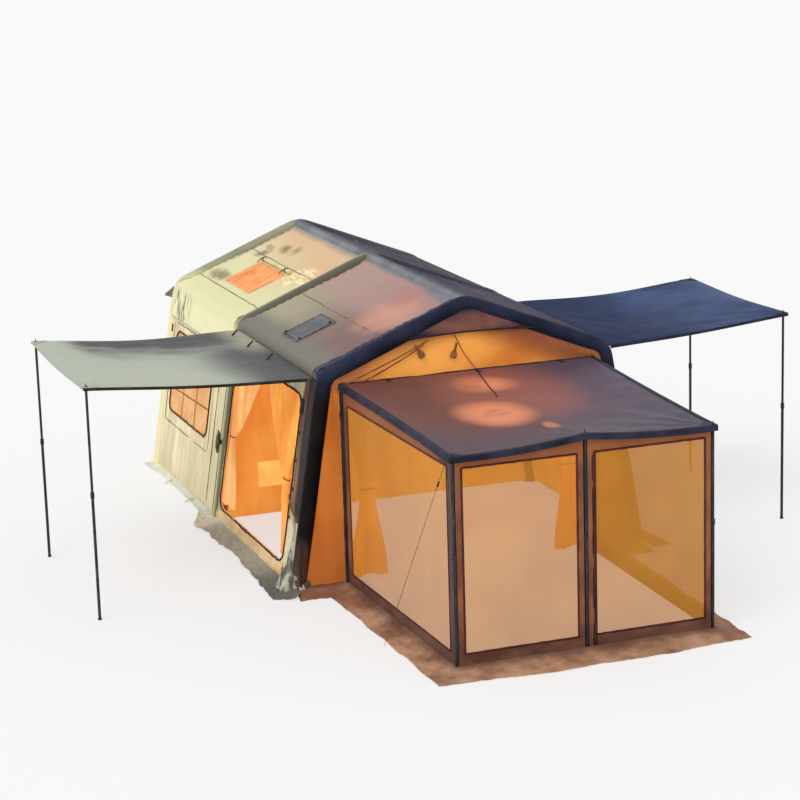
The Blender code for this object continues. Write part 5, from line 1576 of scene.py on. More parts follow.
# %% Curtains and their ties
CURTAIN_DEPTH = 0.030
CURTAIN_TIE_RADIUS = 0.006
CURTAIN_TIE_DEPTH = 0.024


def make_curtain(name, node, place, rail, widths, seed, flip):
    """The pleated sheet, and its tie: a tube round an ellipse as wide as the tied cloth."""
    grid = curtain_grid(place, rail, widths, seed)
    sheet = piece(name, grid, CURTAIN, THIN_CLOTH, flip=flip)
    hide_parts(node)
    spread = np.linalg.norm(np.diff(grid, axis=1), axis=-1).sum(1).mean()
    as_sheet(sheet, float(spread), rail["head"] - rail["foot"], "gathered",
             ["wall_sheet_left_front"])
    start, end = curtain_edges(np.array([CURTAIN_TIE]), rail, widths)
    angle = np.linspace(0, TURN, 40)
    middle, half = float(start[0] + end[0]) / 2, float(end[0] - start[0]) / 2 + 0.004
    level = np.full(len(angle), CURTAIN_TIE)
    loop = place(middle + half * np.cos(angle), level, CURTAIN_TIE_DEPTH * np.sin(angle))
    tie = swept(loop, CURTAIN_TIE_RADIUS, Z_AXIS, 60, 8)
    made = tube_piece(name + "_tie", tie, STRAP)


def beside_wall(post, way):
    """Puts a curtain just inside the left wall, beside a door post."""
    def place(distance, z, depth):
        """Distance from the post along the wall, height along its lean, depth off it."""
        y, h = post + way * distance, z / math.cos(LEAN)
        return on_wall(y, h, depth - CURTAIN_DEPTH)
    return place


def behind_front_wall(side):
    """Puts a curtain just inside the front wall, beside the doorway's left or right post."""
    way = -SIDES[side]

    def place(distance, z, depth):
        """Distance from the post towards the doorway's middle, height, depth."""
        x = way * (DOORWAY_HALF_WIDTH + 0.03 - distance)
        return grid_of(x, -WALL_LIFT + 0.028 + depth, z)
    return place


make_curtain("curtain_door_front", "door_curtain_front", beside_wall(0.36, 1), DOOR_CURTAIN,
             (1.239, 0.18, 0.20, 0.15), 1.0, True)
make_curtain("curtain_door_rear", "door_curtain_rear", beside_wall(2.445, -1), DOOR_CURTAIN,
             (0.84, 0.34, 0.02, 0.10), 2.0, False)
make_curtain("curtain_front_left", "front_curtain_left", behind_front_wall("left"), DOORWAY_CURTAIN,
             (1.177, 0.36, 0.12, 0.14), 3.0, False)
make_curtain("curtain_front_right", "front_curtain_right", behind_front_wall("right"),
             DOORWAY_CURTAIN, (1.177, 0.36, 0.12, 0.14), 4.0, True)

# %% [markdown]
# ## The porch roof
#
# A single sheet hangs from the front wall to three poles. It is a blend of its back edge and
# its front edge, less a sag, and its cloth creases where poles pull at it: folds fan out of
# the two front corners and run up to the middle pole. Its free edges turn down into a hem.

# %% The porch roof's shape
PORCH_REAR_HALF_WIDTH = 1.207
PORCH_FRONT_HALF_WIDTH = 1.15
PORCH_HEIGHT = {"rear": 1.868, "centre": 1.864, "corner": 1.80}
PORCH_EAVE = 0.03
PORCH_HEM = 0.045
PORCH_SAG = 0.07
PORCH_EDGE_SAG = 0.022
PORCH_EDGE_CURVE = 0.02
PORCH_BACK = -WALL_LIFT - CLOTH / 2 - 0.0003
PORCH_RUN = PORCH_LENGTH + PORCH_EAVE + PORCH_BACK


def porch_height(x, y):
    """The back edge's height blended into the front edge's, less the sag between them."""
    t = np.clip((PORCH_BACK - y) / PORCH_RUN, 0, 1)
    across = np.minimum(1.0, np.abs(x) / PORCH_FRONT_HALF_WIDTH)
    front = PORCH_HEIGHT["centre"] + (PORCH_HEIGHT["corner"] - PORCH_HEIGHT["centre"]) * across
    front = front - PORCH_EDGE_SAG * 4 * across * (1 - across)
    height = PORCH_HEIGHT["rear"] + (front - PORCH_HEIGHT["rear"]) * t
    return height - PORCH_SAG * 4 * t * (1 - t) * (1 - across ** 2)


def porch_edge(y):
    """Half the porch roof's width at a depth: its free edges curve in a little."""
    t = (PORCH_BACK - y) / PORCH_RUN
    half = PORCH_REAR_HALF_WIDTH + (PORCH_FRONT_HALF_WIDTH - PORCH_REAR_HALF_WIDTH) * t + PORCH_EAVE
    return half - PORCH_EDGE_CURVE * 4 * t * (1 - t)


print("porch roof", round(2 * float(porch_edge(-PORCH_LENGTH)), 3), "m wide in front")

# %% The porch roof's folds and sheet
PORCH_STEPS = 130


def porch_folds(x, y):
    """Fans from the poles at the front, soft waves across the sag, flat along the hem."""
    t = (PORCH_BACK - y) / PORCH_RUN
    folds = 0.006 * ripples(x, y, 0.5, 81) + 0.004 * creases(x * 0.6, y, 0.42, 82)
    for way in (-1, 1):
        front, rear = way * PORCH_FRONT_HALF_WIDTH, way * PORCH_REAR_HALF_WIDTH
        folds = folds + 0.010 * fan(x, y, front, -PORCH_LENGTH, 15, 0.85, way)
        folds = folds + 0.006 * fan(x, y, rear, 0.0, 11, 0.6, way)
    folds = folds + 0.006 * fan(x, y, 0.0, -PORCH_LENGTH, 12, 0.7)
    rim = np.minimum(np.minimum(t, 1 - t) * PORCH_RUN, porch_edge(y) - np.abs(x))
    return folds * ease(0.0, 0.16, rim)


def make_porch_roof():
    """Rows from the back edge to the front one, each as wide as the roof at its depth."""
    y = steps_down(PORCH_STEPS, PORCH_BACK, PORCH_BACK - PORCH_RUN)
    u = steps_over(PORCH_STEPS, -1, 1)
    x = u * porch_edge(y)
    y = np.broadcast_to(y, x.shape)
    grid = grid_of(x, y, porch_height(x, y) + porch_folds(x, y))
    sheet = piece("porch_roof_sheet", grid, PORCH_ROOF, CLOTH, flip=True)
    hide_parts("porch_roof")
    as_sheet(sheet, 2 * PORCH_REAR_HALF_WIDTH + 2 * PORCH_EAVE, PORCH_RUN, "stretched",
             ["porch_pole_front_centre_upper"])
    return grid


porch_grid = make_porch_roof()
print("lowest point of the porch roof:", round(float(porch_grid[..., 2].min()), 3), "m")

# %% Hems and seams of the porch roof
BINDING_INSET = 0.022


def hem_band(name, rim, drop, material, outwards, wave=0.004, body="tent"):
    """A turned-down hem: a strip that hangs from the rim, with a slight wave at its foot."""
    t = steps_down(len(rim))
    s = steps_over(7)
    bulge = (0.003 + wave * ripples(t * line_length(rim), s * 0.02, 0.22, 91)) * s
    points = rim[:, None] + np.asarray(outwards, float) * bulge[..., None]
    points = points - Z_AXIS * (drop * s)[..., None]
    made = piece(name, points, material, CLOTH, body)
    return made


def make_porch_hems(grid):
    """On each free edge a hem and a binding above it, and a seam along the back."""
    rims = {"left": (grid[:, 0], (-1, 0, 0)), "front": (grid[-1], (0, -1, 0)),
            "right": (grid[:, -1], (1, 0, 0))}
    for name, (rim, outwards) in rims.items():
        hem_band(f"porch_hem_{name}", rim, PORCH_HEM, NAVY_TRIM, outwards)
        inward = -np.asarray(outwards, float) * BINDING_INSET
        made = band(f"porch_binding_{name}", rim + inward, 0.040, (0, 0, 1), NAVY_TRIM, lift=0.004,
                    steps=160)
    back = grid[0] + np.array([0.0, -0.004, 0.0])
    made = band("porch_back_seam", back, 0.016, (0, -0.5, 0.85), DARK_TRIM, lift=0.005, steps=160)


make_porch_hems(porch_grid)

# %% [markdown]
# ## Porch walls
#
# Between two poles hangs a wall of cloth with a large mesh panel. The cloth is again a ring
# round its hole, whose upper edge follows the roof. The mesh is drawn as a thin sheet that
# lets most of the light through, because its threads are finer than the picture shows.

# %% Insect mesh
MESH_THREADS_PER_METRE = 330.0
THREAD_COVER = 0.20
FILM_COVER = 0.585


def make_mesh_material():
    """Amber threads both ways, half see-through between them, and a little cloudy."""
    material, shader, place, woven = new_material("insect_mesh_net")
    tone = mottled(place, (194, 126, 32), (206, 138, 36), 1.4, 2.0)
    rate = TURN * MESH_THREADS_PER_METRE / 20.0
    threads = woven.math("MAXIMUM", woven.wave(rate, "X"), woven.wave(rate, "Y"))
    alpha = threads * THREAD_COVER + (place.noise(1.2, 2.0) * 0.03 + FILM_COVER)
    fill(shader, {"Base Color": tone, "Roughness": 0.8, "Alpha": alpha})
    return material


MESH = make_mesh_material()
print("mesh holes", round(1000 / MESH_THREADS_PER_METRE, 1), "mm wide")

# %% Where the porch's walls stand
POLE_CLEAR = 0.0183
CORNERS = {
    "front_left": np.array([-PORCH_FRONT_HALF_WIDTH, -PORCH_LENGTH]),
    "front_centre": np.array([0.0, -PORCH_LENGTH]),
    "front_right": np.array([PORCH_FRONT_HALF_WIDTH, -PORCH_LENGTH]),
    "rear_left": np.array([-PORCH_REAR_HALF_WIDTH, PORCH_BACK - 0.018]),
    "rear_right": np.array([PORCH_REAR_HALF_WIDTH, PORCH_BACK - 0.018]),
}
PORCH_WALLS = {
    "front_left": ("front_left", "front_centre", 0.075),
    "front_right": ("front_centre", "front_right", 0.075),
    "side_left": ("rear_left", "front_left", 0.12),
    "side_right": ("front_right", "rear_right", 0.12),
}
print("porch corners:", len(CORNERS))

# %% Porch walls, their mesh and their piping
MUD_BAND = 0.15
MESH_HEAD = 1.70
WALL_GUIDE_TOP = 1.90
ROOF_GAP = 0.006
BORDER_OUTLINE = 80
BORDER_RINGS = 14
NET_GRID = (100, 90)
PIPING_LIFT = 0.003
WALL_CUT_HEIGHT = 1.8


def make_porch_wall(name, start, end, border, seed):
    """The wall runs from start to end with the porch inside on its left.

    Above the mesh its heights are stretched, so that its top meets the roof."""
    first, run = CORNERS[start], CORNERS[end] - CORNERS[start]
    length = float(np.hypot(*run))
    ahead = run / length
    out = np.array([ahead[1], -ahead[0]])

    def place(a, z, lift):
        """The distance a along the wall, its stretched height, and the lift outwards."""
        flat = first + ahead * a[..., None] + out * lift[..., None]
        top = porch_height(flat[..., 0], flat[..., 1]) - ROOF_GAP
        above = (z - MESH_HEAD) * (top - MESH_HEAD) / (WALL_GUIDE_TOP - MESH_HEAD)
        z = np.where(z > MESH_HEAD, MESH_HEAD + above, z)
        return np.concatenate([flat, z[..., None]], -1)

    low, high = (border, MUD_BAND), (length - border, MESH_HEAD)
    inner = outline(low, high, 0.0, BORDER_OUTLINE)
    foot, head = (POLE_CLEAR, WALL_FOOT), (length - POLE_CLEAR, WALL_GUIDE_TOP)
    outer = outline(foot, head, 0.0, BORDER_OUTLINE)
    ring = ring_grid(inner, outer, BORDER_RINGS)
    a, z = ring[..., 0], ring[..., 1]
    rim = steps_down(BORDER_RINGS)
    lift = 0.005 * ripples(a, z, 0.20, seed) * arc(rim)
    grid = place(a, z, lift)
    sheet = piece(f"porch_wall_{name}_sheet", grid, BROWN, CLOTH, closed=True)
    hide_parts(f"porch_wall_{name}")
    as_sheet(sheet, length, WALL_CUT_HEIGHT, "hung", ["porch_roof_sheet"])

    rows, columns = NET_GRID
    v, u = np.broadcast_arrays(steps_down(rows), steps_over(columns))
    a = low[0] + (high[0] - low[0]) * u
    z = low[1] + (high[1] - low[1]) * v
    belly = 0.010 * arc(u) * arc(v)
    folds = 0.004 * ripples(a, z, 0.45, seed + 1) * arc(u) * arc(v)
    net = piece(f"porch_mesh_{name}_net", place(a, z, belly + folds), MESH, flip=True)
    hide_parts(f"porch_mesh_{name}")
    as_sheet(net, high[0] - low[0], high[1] - low[1], "stretched", [sheet])

    sides = {"foot": ((low[0], low[1]), (high[0], low[1])), "head": ((low[0], high[1]), high),
             "start": (low, (low[0], high[1])), "end": ((high[0], low[1]), high)}
    normal = np.array([out[0], out[1], 0.0])
    for side, (a0, a1) in sides.items():
        t = steps_down(60)
        path = np.asarray(a0) * (1 - t) + np.asarray(a1) * t
        shake = 0.002 * ripples(t[:, 0] * 2, 0.0, 0.12, seed + 2)
        line = place(path[:, 0], path[:, 1], np.full(len(path), PIPING_LIFT))
        line[:, 2] += shake
        made = band(f"porch_piping_{name}_{side}", line, 0.016, normal, RED_TRIM, 0.003, steps=80)


for seed, (name, (start, end, border)) in enumerate(PORCH_WALLS.items()):
    make_porch_wall(name, start, end, border, 101 + 4 * seed)
print("porch walls:", len(PORCH_WALLS))


# %% Channels behind the front poles
def make_pole_channel(corner, first, last):
    """A dark strip behind a front pole, an arc round its axis that joins the two panels."""
    at = CORNERS[corner]
    angle = steps_over(14, first, last) * math.pi
    z = steps_down(60, 0.02, float(porch_height(*at)) - 0.03)
    radius = POLE_CLEAR + 0.0012
    grid = grid_of(at[0] + radius * np.cos(angle), at[1] + radius * np.sin(angle), z)
    made = piece("pole_channel_" + corner, grid, DARK_TRIM, TAPE)


CHANNELS = (("front_left", 0.0, 0.5), ("front_centre", 0.0, 1.0), ("front_right", 0.5, 1.0))
for corner, first, last in CHANNELS:
    make_pole_channel(corner, first, last)
print("channels:", len(CHANNELS))

# %% [markdown]
# ## Awnings
#
# Each awning is held at the eave and by two poles, so it is drawn tight between its four
# corners and slack between them: a bilinear sheet, less a sag, with edges that curve in. It
# rides on its own body, because it pitches about the eave when its poles are set lower.

# %% The awning's shape
AWNING_REACH = {"left": 3.48, "right": 3.31}
AWNING_POLE_HEIGHT = {"left": 2.08, "right": 2.03}
AWNING_FRONT = {"left": 0.00, "right": 0.18}
AWNING_BACK = {"left": 2.05, "right": 2.12}
AWNING_INNER = (0.10, 2.44)
AWNING_HINGE_DROP = 0.03
AWNING_HINGE_OUT = COVER + CLOTH
AWNING_CORNER = 0.035
AWNING_SAG = 0.09
AWNING_EDGE_CURVE = 0.06
AWNING_HINGE = EAVE_BEAM + LEG_OUT * AWNING_HINGE_OUT - LEG_UP * AWNING_HINGE_DROP


def bump(t):
    """0 at both ends and 1 in the middle, level at each."""
    return (4 * t * (1 - t)) ** 2


def awning_grid(side, s, w):
    """s runs outwards from the eave and w from front to back; the sum of span, sag and folds."""
    outer_x = -AWNING_REACH[side] - AWNING_CORNER
    run = AWNING_HINGE[0] - outer_x
    rise = (AWNING_POLE_HEIGHT[side] - AWNING_HINGE[1]) * run / (run - AWNING_CORNER)
    front = AWNING_INNER[0] + (AWNING_FRONT[side] - AWNING_CORNER - AWNING_INNER[0]) * s
    back = AWNING_INNER[1] + (AWNING_BACK[side] + AWNING_CORNER - AWNING_INNER[1]) * s
    front = front + AWNING_EDGE_CURVE * bump(s)
    back = back - AWNING_EDGE_CURVE * bump(s)
    sag = AWNING_SAG * (bump(s) * (0.35 + 0.65 * bump(w)) + 0.25 * s * bump(w))
    x = np.broadcast_to(AWNING_HINGE[0] - run * s, (s * w).shape)
    y = front + (back - front) * w
    return grid_of(x, y, AWNING_HINGE[1] + rise * s - sag)


print("awning hinge", AWNING_HINGE.round(3))

# %% Awning sheets and their hems
AWNING_STEPS = 130
AWNING_CUT = (2.2, 2.05)
HEM_START = 4


def awning_folds(grid, s, w, seed):
    """Fans from the pole corners, gathers along the eave and slow waves, flat at the rim."""
    x, y = grid[..., 0], grid[..., 1]
    folds = 0.006 * ripples(x, y, 0.6, seed) + 0.004 * creases(x, y * 0.7, 0.5, seed + 1)
    for k, corner in enumerate(((-1, 0), (-1, -1))):
        at = grid[corner]
        folds = folds + 0.010 * fan(x, y, at[0], at[1], 13, 0.9, k)
    gathers = np.exp(-(s / 0.10) ** 2) * np.sin(TURN * y / 0.11 + ripples(y, s, 0.4, seed))
    folds = folds + 0.005 * gathers * ease(0.0, 0.02, s)
    rim = np.minimum(np.minimum(w, 1 - w) * 2.2, (1 - s) * 1.9)
    return folds * ease(0.0, 0.10, rim)


def make_awning(side, material, seed):
    """The sheet on its own body, with a hem on its three free edges."""
    s = steps_down(AWNING_STEPS)
    w = steps_over(AWNING_STEPS)
    grid = awning_grid(side, s, w)
    grid[..., 2] += awning_folds(grid, s, w, seed)
    grid = mirror(grid, SIDES[side])
    body = "awning_" + side
    sheet = piece(body + "_sheet", grid, material, CLOTH, body, flip=side == "right")
    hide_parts(body)
    as_sheet(sheet, *AWNING_CUT, "stretched", [f"awning_pole_{side}_front_upper"])
    rims = {"front": (grid[HEM_START:, 0], (0, -1, 0)), "back": (grid[HEM_START:, -1], (0, 1, 0)),
            "outer": (grid[-1], (-SIDES[side], 0, 0))}
    dark = DARK_TRIM if side == "left" else NAVY_TRIM
    for name, (rim, outwards) in rims.items():
        same = side == "left" and name == "outer"
        drop, tape = (0.018, material) if same else (0.026, dark)
        hem_band(f"{body}_hem_{name}", rim, drop, tape, outwards, 0.001, body)
    return grid


awning_grids = {"left": make_awning("left", LEFT_AWNING, 131),
                "right": make_awning("right", RIGHT_AWNING, 136)}
print("awnings:", len(awning_grids))

# %% [markdown]
# ## Ground skirts
#
# Cloth bands lie on the ground round the cabin and the porch and keep the draught out. Nobody
# lays them flat: they are trodden, bunched at the corners and wavy at the rim. The grid runs
# along the wall's foot and across the band, and crumples lift it off the ground.

# %% Crumpled bands on the ground
SKIRT_RISE = 0.05
SKIRT_STEPS = 620
SKIRT_ACROSS = 19


def skirt_grid(foot, rim, seed, wave, lift):
    """Rows that run from points along the wall's foot to the rim's points across from them.

    Across a row the height falls as a power of the distance left, plus soft crumples.
    """
    middle = (foot + rim) / 2
    walked = np.concatenate([[0.0], np.cumsum(np.linalg.norm(np.diff(middle, axis=0), axis=1))])
    a = np.linspace(0, walked[-1], SKIRT_STEPS)
    near, far = (np.stack([np.interp(a, walked, path[:, k]) for k in (0, 1)], -1)
                 for path in (foot, rim))
    s = steps_over(SKIRT_ACROSS)
    a = a[:, None]
    reach = np.linalg.norm(far - near, axis=1)[:, None]
    edge = 1 + wave * ripples(a, 0.0, 0.42, seed)
    flat = near[:, None] + (far - near)[:, None] * (s * edge)[..., None]
    crumple = np.maximum(0.3 + ripples(a, s * reach, 0.20, seed + 2), 0) * 0.6
    crumple = crumple + np.maximum(creases(a, s * reach * 1.6, 0.14, seed + 3), 0) * 0.4
    fall = SKIRT_RISE * (1 - s) ** 2.2
    z = 0.0035 + fall + lift * crumple * (0.25 + s) * (1 - 0.55 * s)
    return np.concatenate([flat, z[..., None]], -1)


def mirrored_path(half):
    """A path that goes round the tent: its half, then the half's mirror image."""
    half = np.asarray(half, float)
    return np.concatenate([half, half[::-1][1:] * [-1, 1]])


print("a skirt has", (SKIRT_STEPS - 1) * (SKIRT_ACROSS - 1), "faces")

# %% Ground skirts
SKIRT_REACH = 0.17
PORCH_SKIRT_REACH = 0.24
SKIRT_SEAT = 0.004
SKIRT_START = -0.20
SKIRT_END_HALF_WIDTH = 1.70
CABIN_RIM = [(-0.13, 0.25), (0.05, 0.24), (0.64, 0.21), (1.32, 0.17), (1.93, 0.21), (2.50, 0.23),
             (2.95, 0.06), (3.77, 0.045), (4.45, 0.05)]


def make_skirt(name, node, foot, rim, seed, wave, lift, material, rests_on):
    """A band from the foot's path to the rim's; its cut is its mean width by the foot's length."""
    grid = skirt_grid(mirrored_path(foot), mirrored_path(rim), seed, wave, lift)
    skirt = piece(name, grid, material, CLOTH, flip=True)
    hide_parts(node)
    wide = float(np.linalg.norm(np.diff(grid, axis=1), axis=-1).sum(1).mean())
    as_sheet(skirt, wide, line_length(mirrored_path(foot)), "laid", [rests_on])


def make_skirts():
    """Round the cabin the rim wanders with the trodden cloth; round the porch it is even."""
    side_x = float(on_wall(0.0, SKIRT_RISE, SKIRT_SEAT)[0])
    back_y = CABIN_LENGTH + WALL_LIFT + SKIRT_SEAT
    foot = [(side_x, SKIRT_START)] + [(side_x, y) for y, reach in CABIN_RIM]
    foot += [(side_x, back_y), (0.0, back_y)]
    rim = [(side_x - 0.09, SKIRT_START)] + [(side_x - reach, y) for y, reach in CABIN_RIM]
    rim += [(side_x - 0.10, back_y + 0.12), (0.0, back_y + SKIRT_REACH * 0.8)]
    make_skirt("cabin_skirt_cloth", "skirt_cabin", foot, rim, 151, 0.12, 0.042, SKIRT,
               "wall_sheet_left_front")
    front_y = -WALL_LIFT - SKIRT_SEAT
    ahead_y = -PORCH_LENGTH - SKIRT_SEAT
    foot = [(SKIRT_END_HALF_WIDTH, front_y), (PORCH_REAR_HALF_WIDTH + SKIRT_SEAT, front_y),
            (PORCH_FRONT_HALF_WIDTH + SKIRT_SEAT, ahead_y)]
    foot += [(x, ahead_y) for x in (0.75, 0.40, 0.0)]
    reach = PORCH_SKIRT_REACH
    rim = [(SKIRT_END_HALF_WIDTH + 0.04, front_y - reach), (foot[1][0] + reach, front_y - reach),
           (foot[2][0] + reach, ahead_y - reach)]
    rim += [(x, ahead_y - reach * share) for x, share in ((0.80, 1.15), (0.40, 1.35), (0.0, 1.2))]
    make_skirt("porch_skirt_cloth", "skirt_porch", foot, rim, 161, 0.06, 0.020, PORCH_SKIRT,
               "porch_wall_front_left_sheet")


make_skirts()

# %% [markdown]
# ## Skylight, roof vent and flap
#
# The rear bay has a clear film in its roof, with its cover rolled up above it. The front bay
# has a mesh vent under a stiffened flap. The flap turns about its ridge side, so it and what
# is sewn to it ride on their own body. All of them are made in the roof's own two directions:
# the distance down from the ridge, and the depth.

# %% The skylight's film
SKYLIGHT_CUT = (0.87, 0.43)


def roof_field(hole, shrink, rows=60, columns=90):
    """A grid of distances and depths that fills a hole of the roof."""
    s = steps_down(rows, hole["s"][0] + shrink, hole["s"][1] - shrink)
    y = steps_over(columns, hole["y"][0] + shrink, hole["y"][1] - shrink)
    return s, y


def make_skylight():
    """A film with fine slanting wrinkles, drawn tight in its frame."""
    s, y = roof_field(SKYLIGHT, HOLE_GAP)
    u, v = (s - s.min()) / np.ptp(s), (y - y.min()) / np.ptp(y)
    inside = arc(u) * arc(v)
    wrinkles = np.sin(TURN * (s * 9 + y * 21) + 2.5 * ripples(s, y, 0.3, 201))
    out = (0.0022 * wrinkles + 0.003 * ripples(s, y, 0.25, 202)) * inside ** 0.4
    film = piece("skylight_film_sheet", on_roof(s, y, out), FILM, TAPE, flip=True)
    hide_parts("skylight_window")
    as_sheet(film, *SKYLIGHT_CUT, "stretched", ["roof_sheet_left_rear"])


make_skylight()
print("skylight", round(SKYLIGHT["s"][1] - SKYLIGHT["s"][0], 2), "m down the slope")

# %% The rolled cover
ROLL_RADIUS = 0.021
ROLL_EXTRA = 0.05
ROLL_CENTRE = (SKYLIGHT["s"][0] - 0.034, 0.0258)
ROLL_TIES = (0.12, 0.88)
TIE_REACH = 0.0225
TIE_TAIL = 0.09
TIE_RADIUS = 0.0045


def make_cover_roll():
    """A rolled cloth: a tube whose radius steps along a spiral, with a strap near each end."""
    y0, y1 = SKYLIGHT["y"][0] - ROLL_EXTRA, SKYLIGHT["y"][1] + ROLL_EXTRA
    line = on_roof(ROLL_CENTRE[0], np.linspace(y0, y1, 60), ROLL_CENTRE[1])

    def radius(t, angle):
        """Grows with the turn along the spiral, and is squeezed by a bell at each tie."""
        turn = (angle + 0.8 * np.sin(5 * t)) % TURN
        squeeze = sum(np.exp(-((t - at) / 0.02) ** 2) for at in ROLL_TIES)
        wavy = 0.05 * ripples(t, angle * 0.02, 0.05, 203)
        return ROLL_RADIUS * (0.92 + 0.10 * turn / TURN + wavy - 0.16 * squeeze)

    tube = swept(line, radius, Z_AXIS, 220, 28)
    roll = tube_piece("skylight_cover_roll", tube, ROLLED)
    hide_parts("skylight_cover")
    out = np.array([SHEET_OUT[0], 0.0, SHEET_OUT[1]])
    down = np.array([SHEET_DOWN[0], 0.0, SHEET_DOWN[1]])
    for k, at in enumerate(ROLL_TIES):
        centre = along(line, [at])[0]
        angle = steps_down(30, 0, TURN)
        loop = centre + TIE_REACH * (np.cos(angle) * out + np.sin(angle) * down)
        tail = centre + TIE_REACH * out + steps_down(16) * down * TIE_TAIL
        tail = tail - out * (0.018 * steps_down(16) ** 2)
        for part, path in (("loop", loop), ("tail", tail)):
            cord = swept(path, TIE_RADIUS, Y_AXIS, 40, 8)
            made = tube_piece(f"cover_tie_{k}_{part}", cord, DARK_TRIM)


make_cover_roll()
print("roll", round(np.ptp(SKYLIGHT["y"]) + 2 * ROLL_EXTRA, 2), "m long")

# %% Roof vent and its flap
FLAP_AREA = {"s": (0.90, 1.33), "y": (1.08, 1.50)}
FLAP_OUT = CLOTH / 2 + 0.0033
FLAP_CROWN = 0.005
FLAP_THICKNESS = 0.005
VENT_CUT = (0.33, 0.32)
FLAP_CUT = (0.43, 0.42)
VENT_GRID = (30, 30)
FLAP_GRID = (60, 60)


def flap_sheet(s, y, out):
    """The flap's surface: a shallow crown, higher in the middle than at the stitched rim."""
    u = (s - FLAP_AREA["s"][0]) / np.ptp(FLAP_AREA["s"])
    v = (y - FLAP_AREA["y"][0]) / np.ptp(FLAP_AREA["y"])
    crown = FLAP_CROWN * arc(u) * arc(v)
    waves = 0.001 * ripples(s, y, 0.16, 204) * crown / FLAP_CROWN
    return on_roof(s, y, FLAP_OUT + out + crown + waves)


def make_vent():
    """A flat net in the hole, and the flap over it on its own body."""
    s, y = roof_field(VENT, HOLE_GAP, *VENT_GRID)
    net = piece("roof_vent_net", on_roof(s, y, 0.0), MESH, flip=True)
    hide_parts("roof_vent_mesh")
    as_sheet(net, *VENT_CUT, "stretched", ["roof_sheet_left_front"])
    s, y = roof_field(FLAP_AREA, 0.0, *FLAP_GRID)
    flap = piece("vent_flap_sheet", flap_sheet(s, y, 0.0), FLAP, FLAP_THICKNESS, "roof_vent_flap",
                 flip=True)
    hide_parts("roof_vent_flap")
    as_sheet(flap, *FLAP_CUT, "stretched", ["roof_sheet_left_front"])


make_vent()
print("vent", round(np.ptp(VENT["s"]), 2), "x", round(np.ptp(VENT["y"]), 2), "m")

# %% Binding and toggles of the flap
FLAP_DASH = 4
FLAP_TRIM_OUT = 0.0036


def toggle_radius(t, angle):
    """A barrel: widest in the middle, half as wide at its ends."""
    return 0.008 * (1 - 0.5 * (2 * t - 1) ** 4)


def make_flap_trim():
    """A dark binding round the rim in long stitches, and a toggle at two corners."""
    (s0, s1), (y0, y1) = FLAP_AREA["s"], FLAP_AREA["y"]
    path = outline((s0 + 0.012, y0 + 0.012), (s1 - 0.012, y1 - 0.012), 0.01, 60)
    path = np.concatenate([path, path[:1]])
    middle = path.mean(0)
    inner = path + (middle - path) * 0.055
    t = np.linspace(0, 1, 4)[:, None, None]
    rows = path[None] * (1 - t) + inner[None] * t
    dashes = np.broadcast_to((np.arange(len(path) - 1) // FLAP_DASH) % 3 > 0, (3, len(path) - 1))
    grid = flap_sheet(rows[..., 0], rows[..., 1], FLAP_TRIM_OUT)
    made = piece("vent_flap_binding", grid, DARK_TRIM, TAPE, "roof_vent_flap",
                 keep=dashes, flip=True)
    places = ((s1 - 0.05, y0 + 0.02), (s1 - 0.04, y1 - 0.02), (s0 + 0.05, y0 + 0.04))
    for k, (s, y) in enumerate(places):
        slant, run = np.linspace(-0.006, 0.006, 12), np.linspace(-0.02, 0.02, 12)
        line = flap_sheet(s + slant, y + run, 0.012)
        barrel = swept(line, toggle_radius, Z_AXIS, 14, 12)
        made = tube_piece(f"vent_flap_toggle_{k}", barrel, BLACK_PLASTIC, body="roof_vent_flap")


make_flap_trim()

# %% Seams and edge tapes on the roof
SEAM_WIDTH = 0.010
ARCH_TAPE = 0.016
STRIP_OUT = 0.003
SEAMS_AT = {"rear": (0.60, 1.22), "front": (0.80,)}


def roof_strip(name, side, bay, s, y, material):
    """A tape or a seam on a roof sheet, which follows the sheet's folds."""
    made = sewn(name, [roof_patch(side, bay, s, y, STRIP_OUT)], material, TAPE)


def seam_rows(at, width=SEAM_WIDTH):
    """Four even steps across a strip."""
    return at + np.linspace(-0.5, 0.5, 4) * width


def make_roof_seams():
    """Lapped seams down each bay, and dark tapes where a sheet is sewn to an arch's sleeve."""
    for side, bay in ROOF_SHEETS:
        near, far = BAYS[bay]
        y = np.linspace(near + ROOF_EDGE, far - ROOF_EDGE, 120)
        for k, at in enumerate(SEAMS_AT[bay]):
            roof_strip(f"roof_seam_{side}_{bay}_{k}", side, bay, seam_rows(at), y, SEAM)
        s = np.linspace(0.02, SLOPE_RUN + 0.02, 110)
        for end, at in (("near", near + ROOF_EDGE + 0.012), ("far", far - ROOF_EDGE - 0.012)):
            dye = NAVY_TRIM if (bay, end) == ("front", "near") else SEAM
            across = seam_rows(at, ARCH_TAPE)
            roof_strip(f"roof_tape_{side}_{bay}_{end}", side, bay, s, across, dye)
        ridge = np.array([0.004, 0.014, 0.026])
        dye = NAVY_TRIM if side == "right" else SEAM
        roof_strip(f"ridge_tape_{side}_{bay}", side, bay, ridge, y, dye)


make_roof_seams()

# %% [markdown]
# ## Trim on the walls
#
# A tent's drawing is in its trim: piping round windows and doors, straps, ties and pockets.
# Piping is a thin tube that wanders a little, because the zip under it is never quite flat.
# Each piece is placed in the wall's own two directions and lies on the wall.

# %% Lines and piping on a wall
PIPING_SIDE = np.array([0.0, 1.0, 0.3])
PIPING_RADIUS = 0.008
THIN_PIPING = 0.004


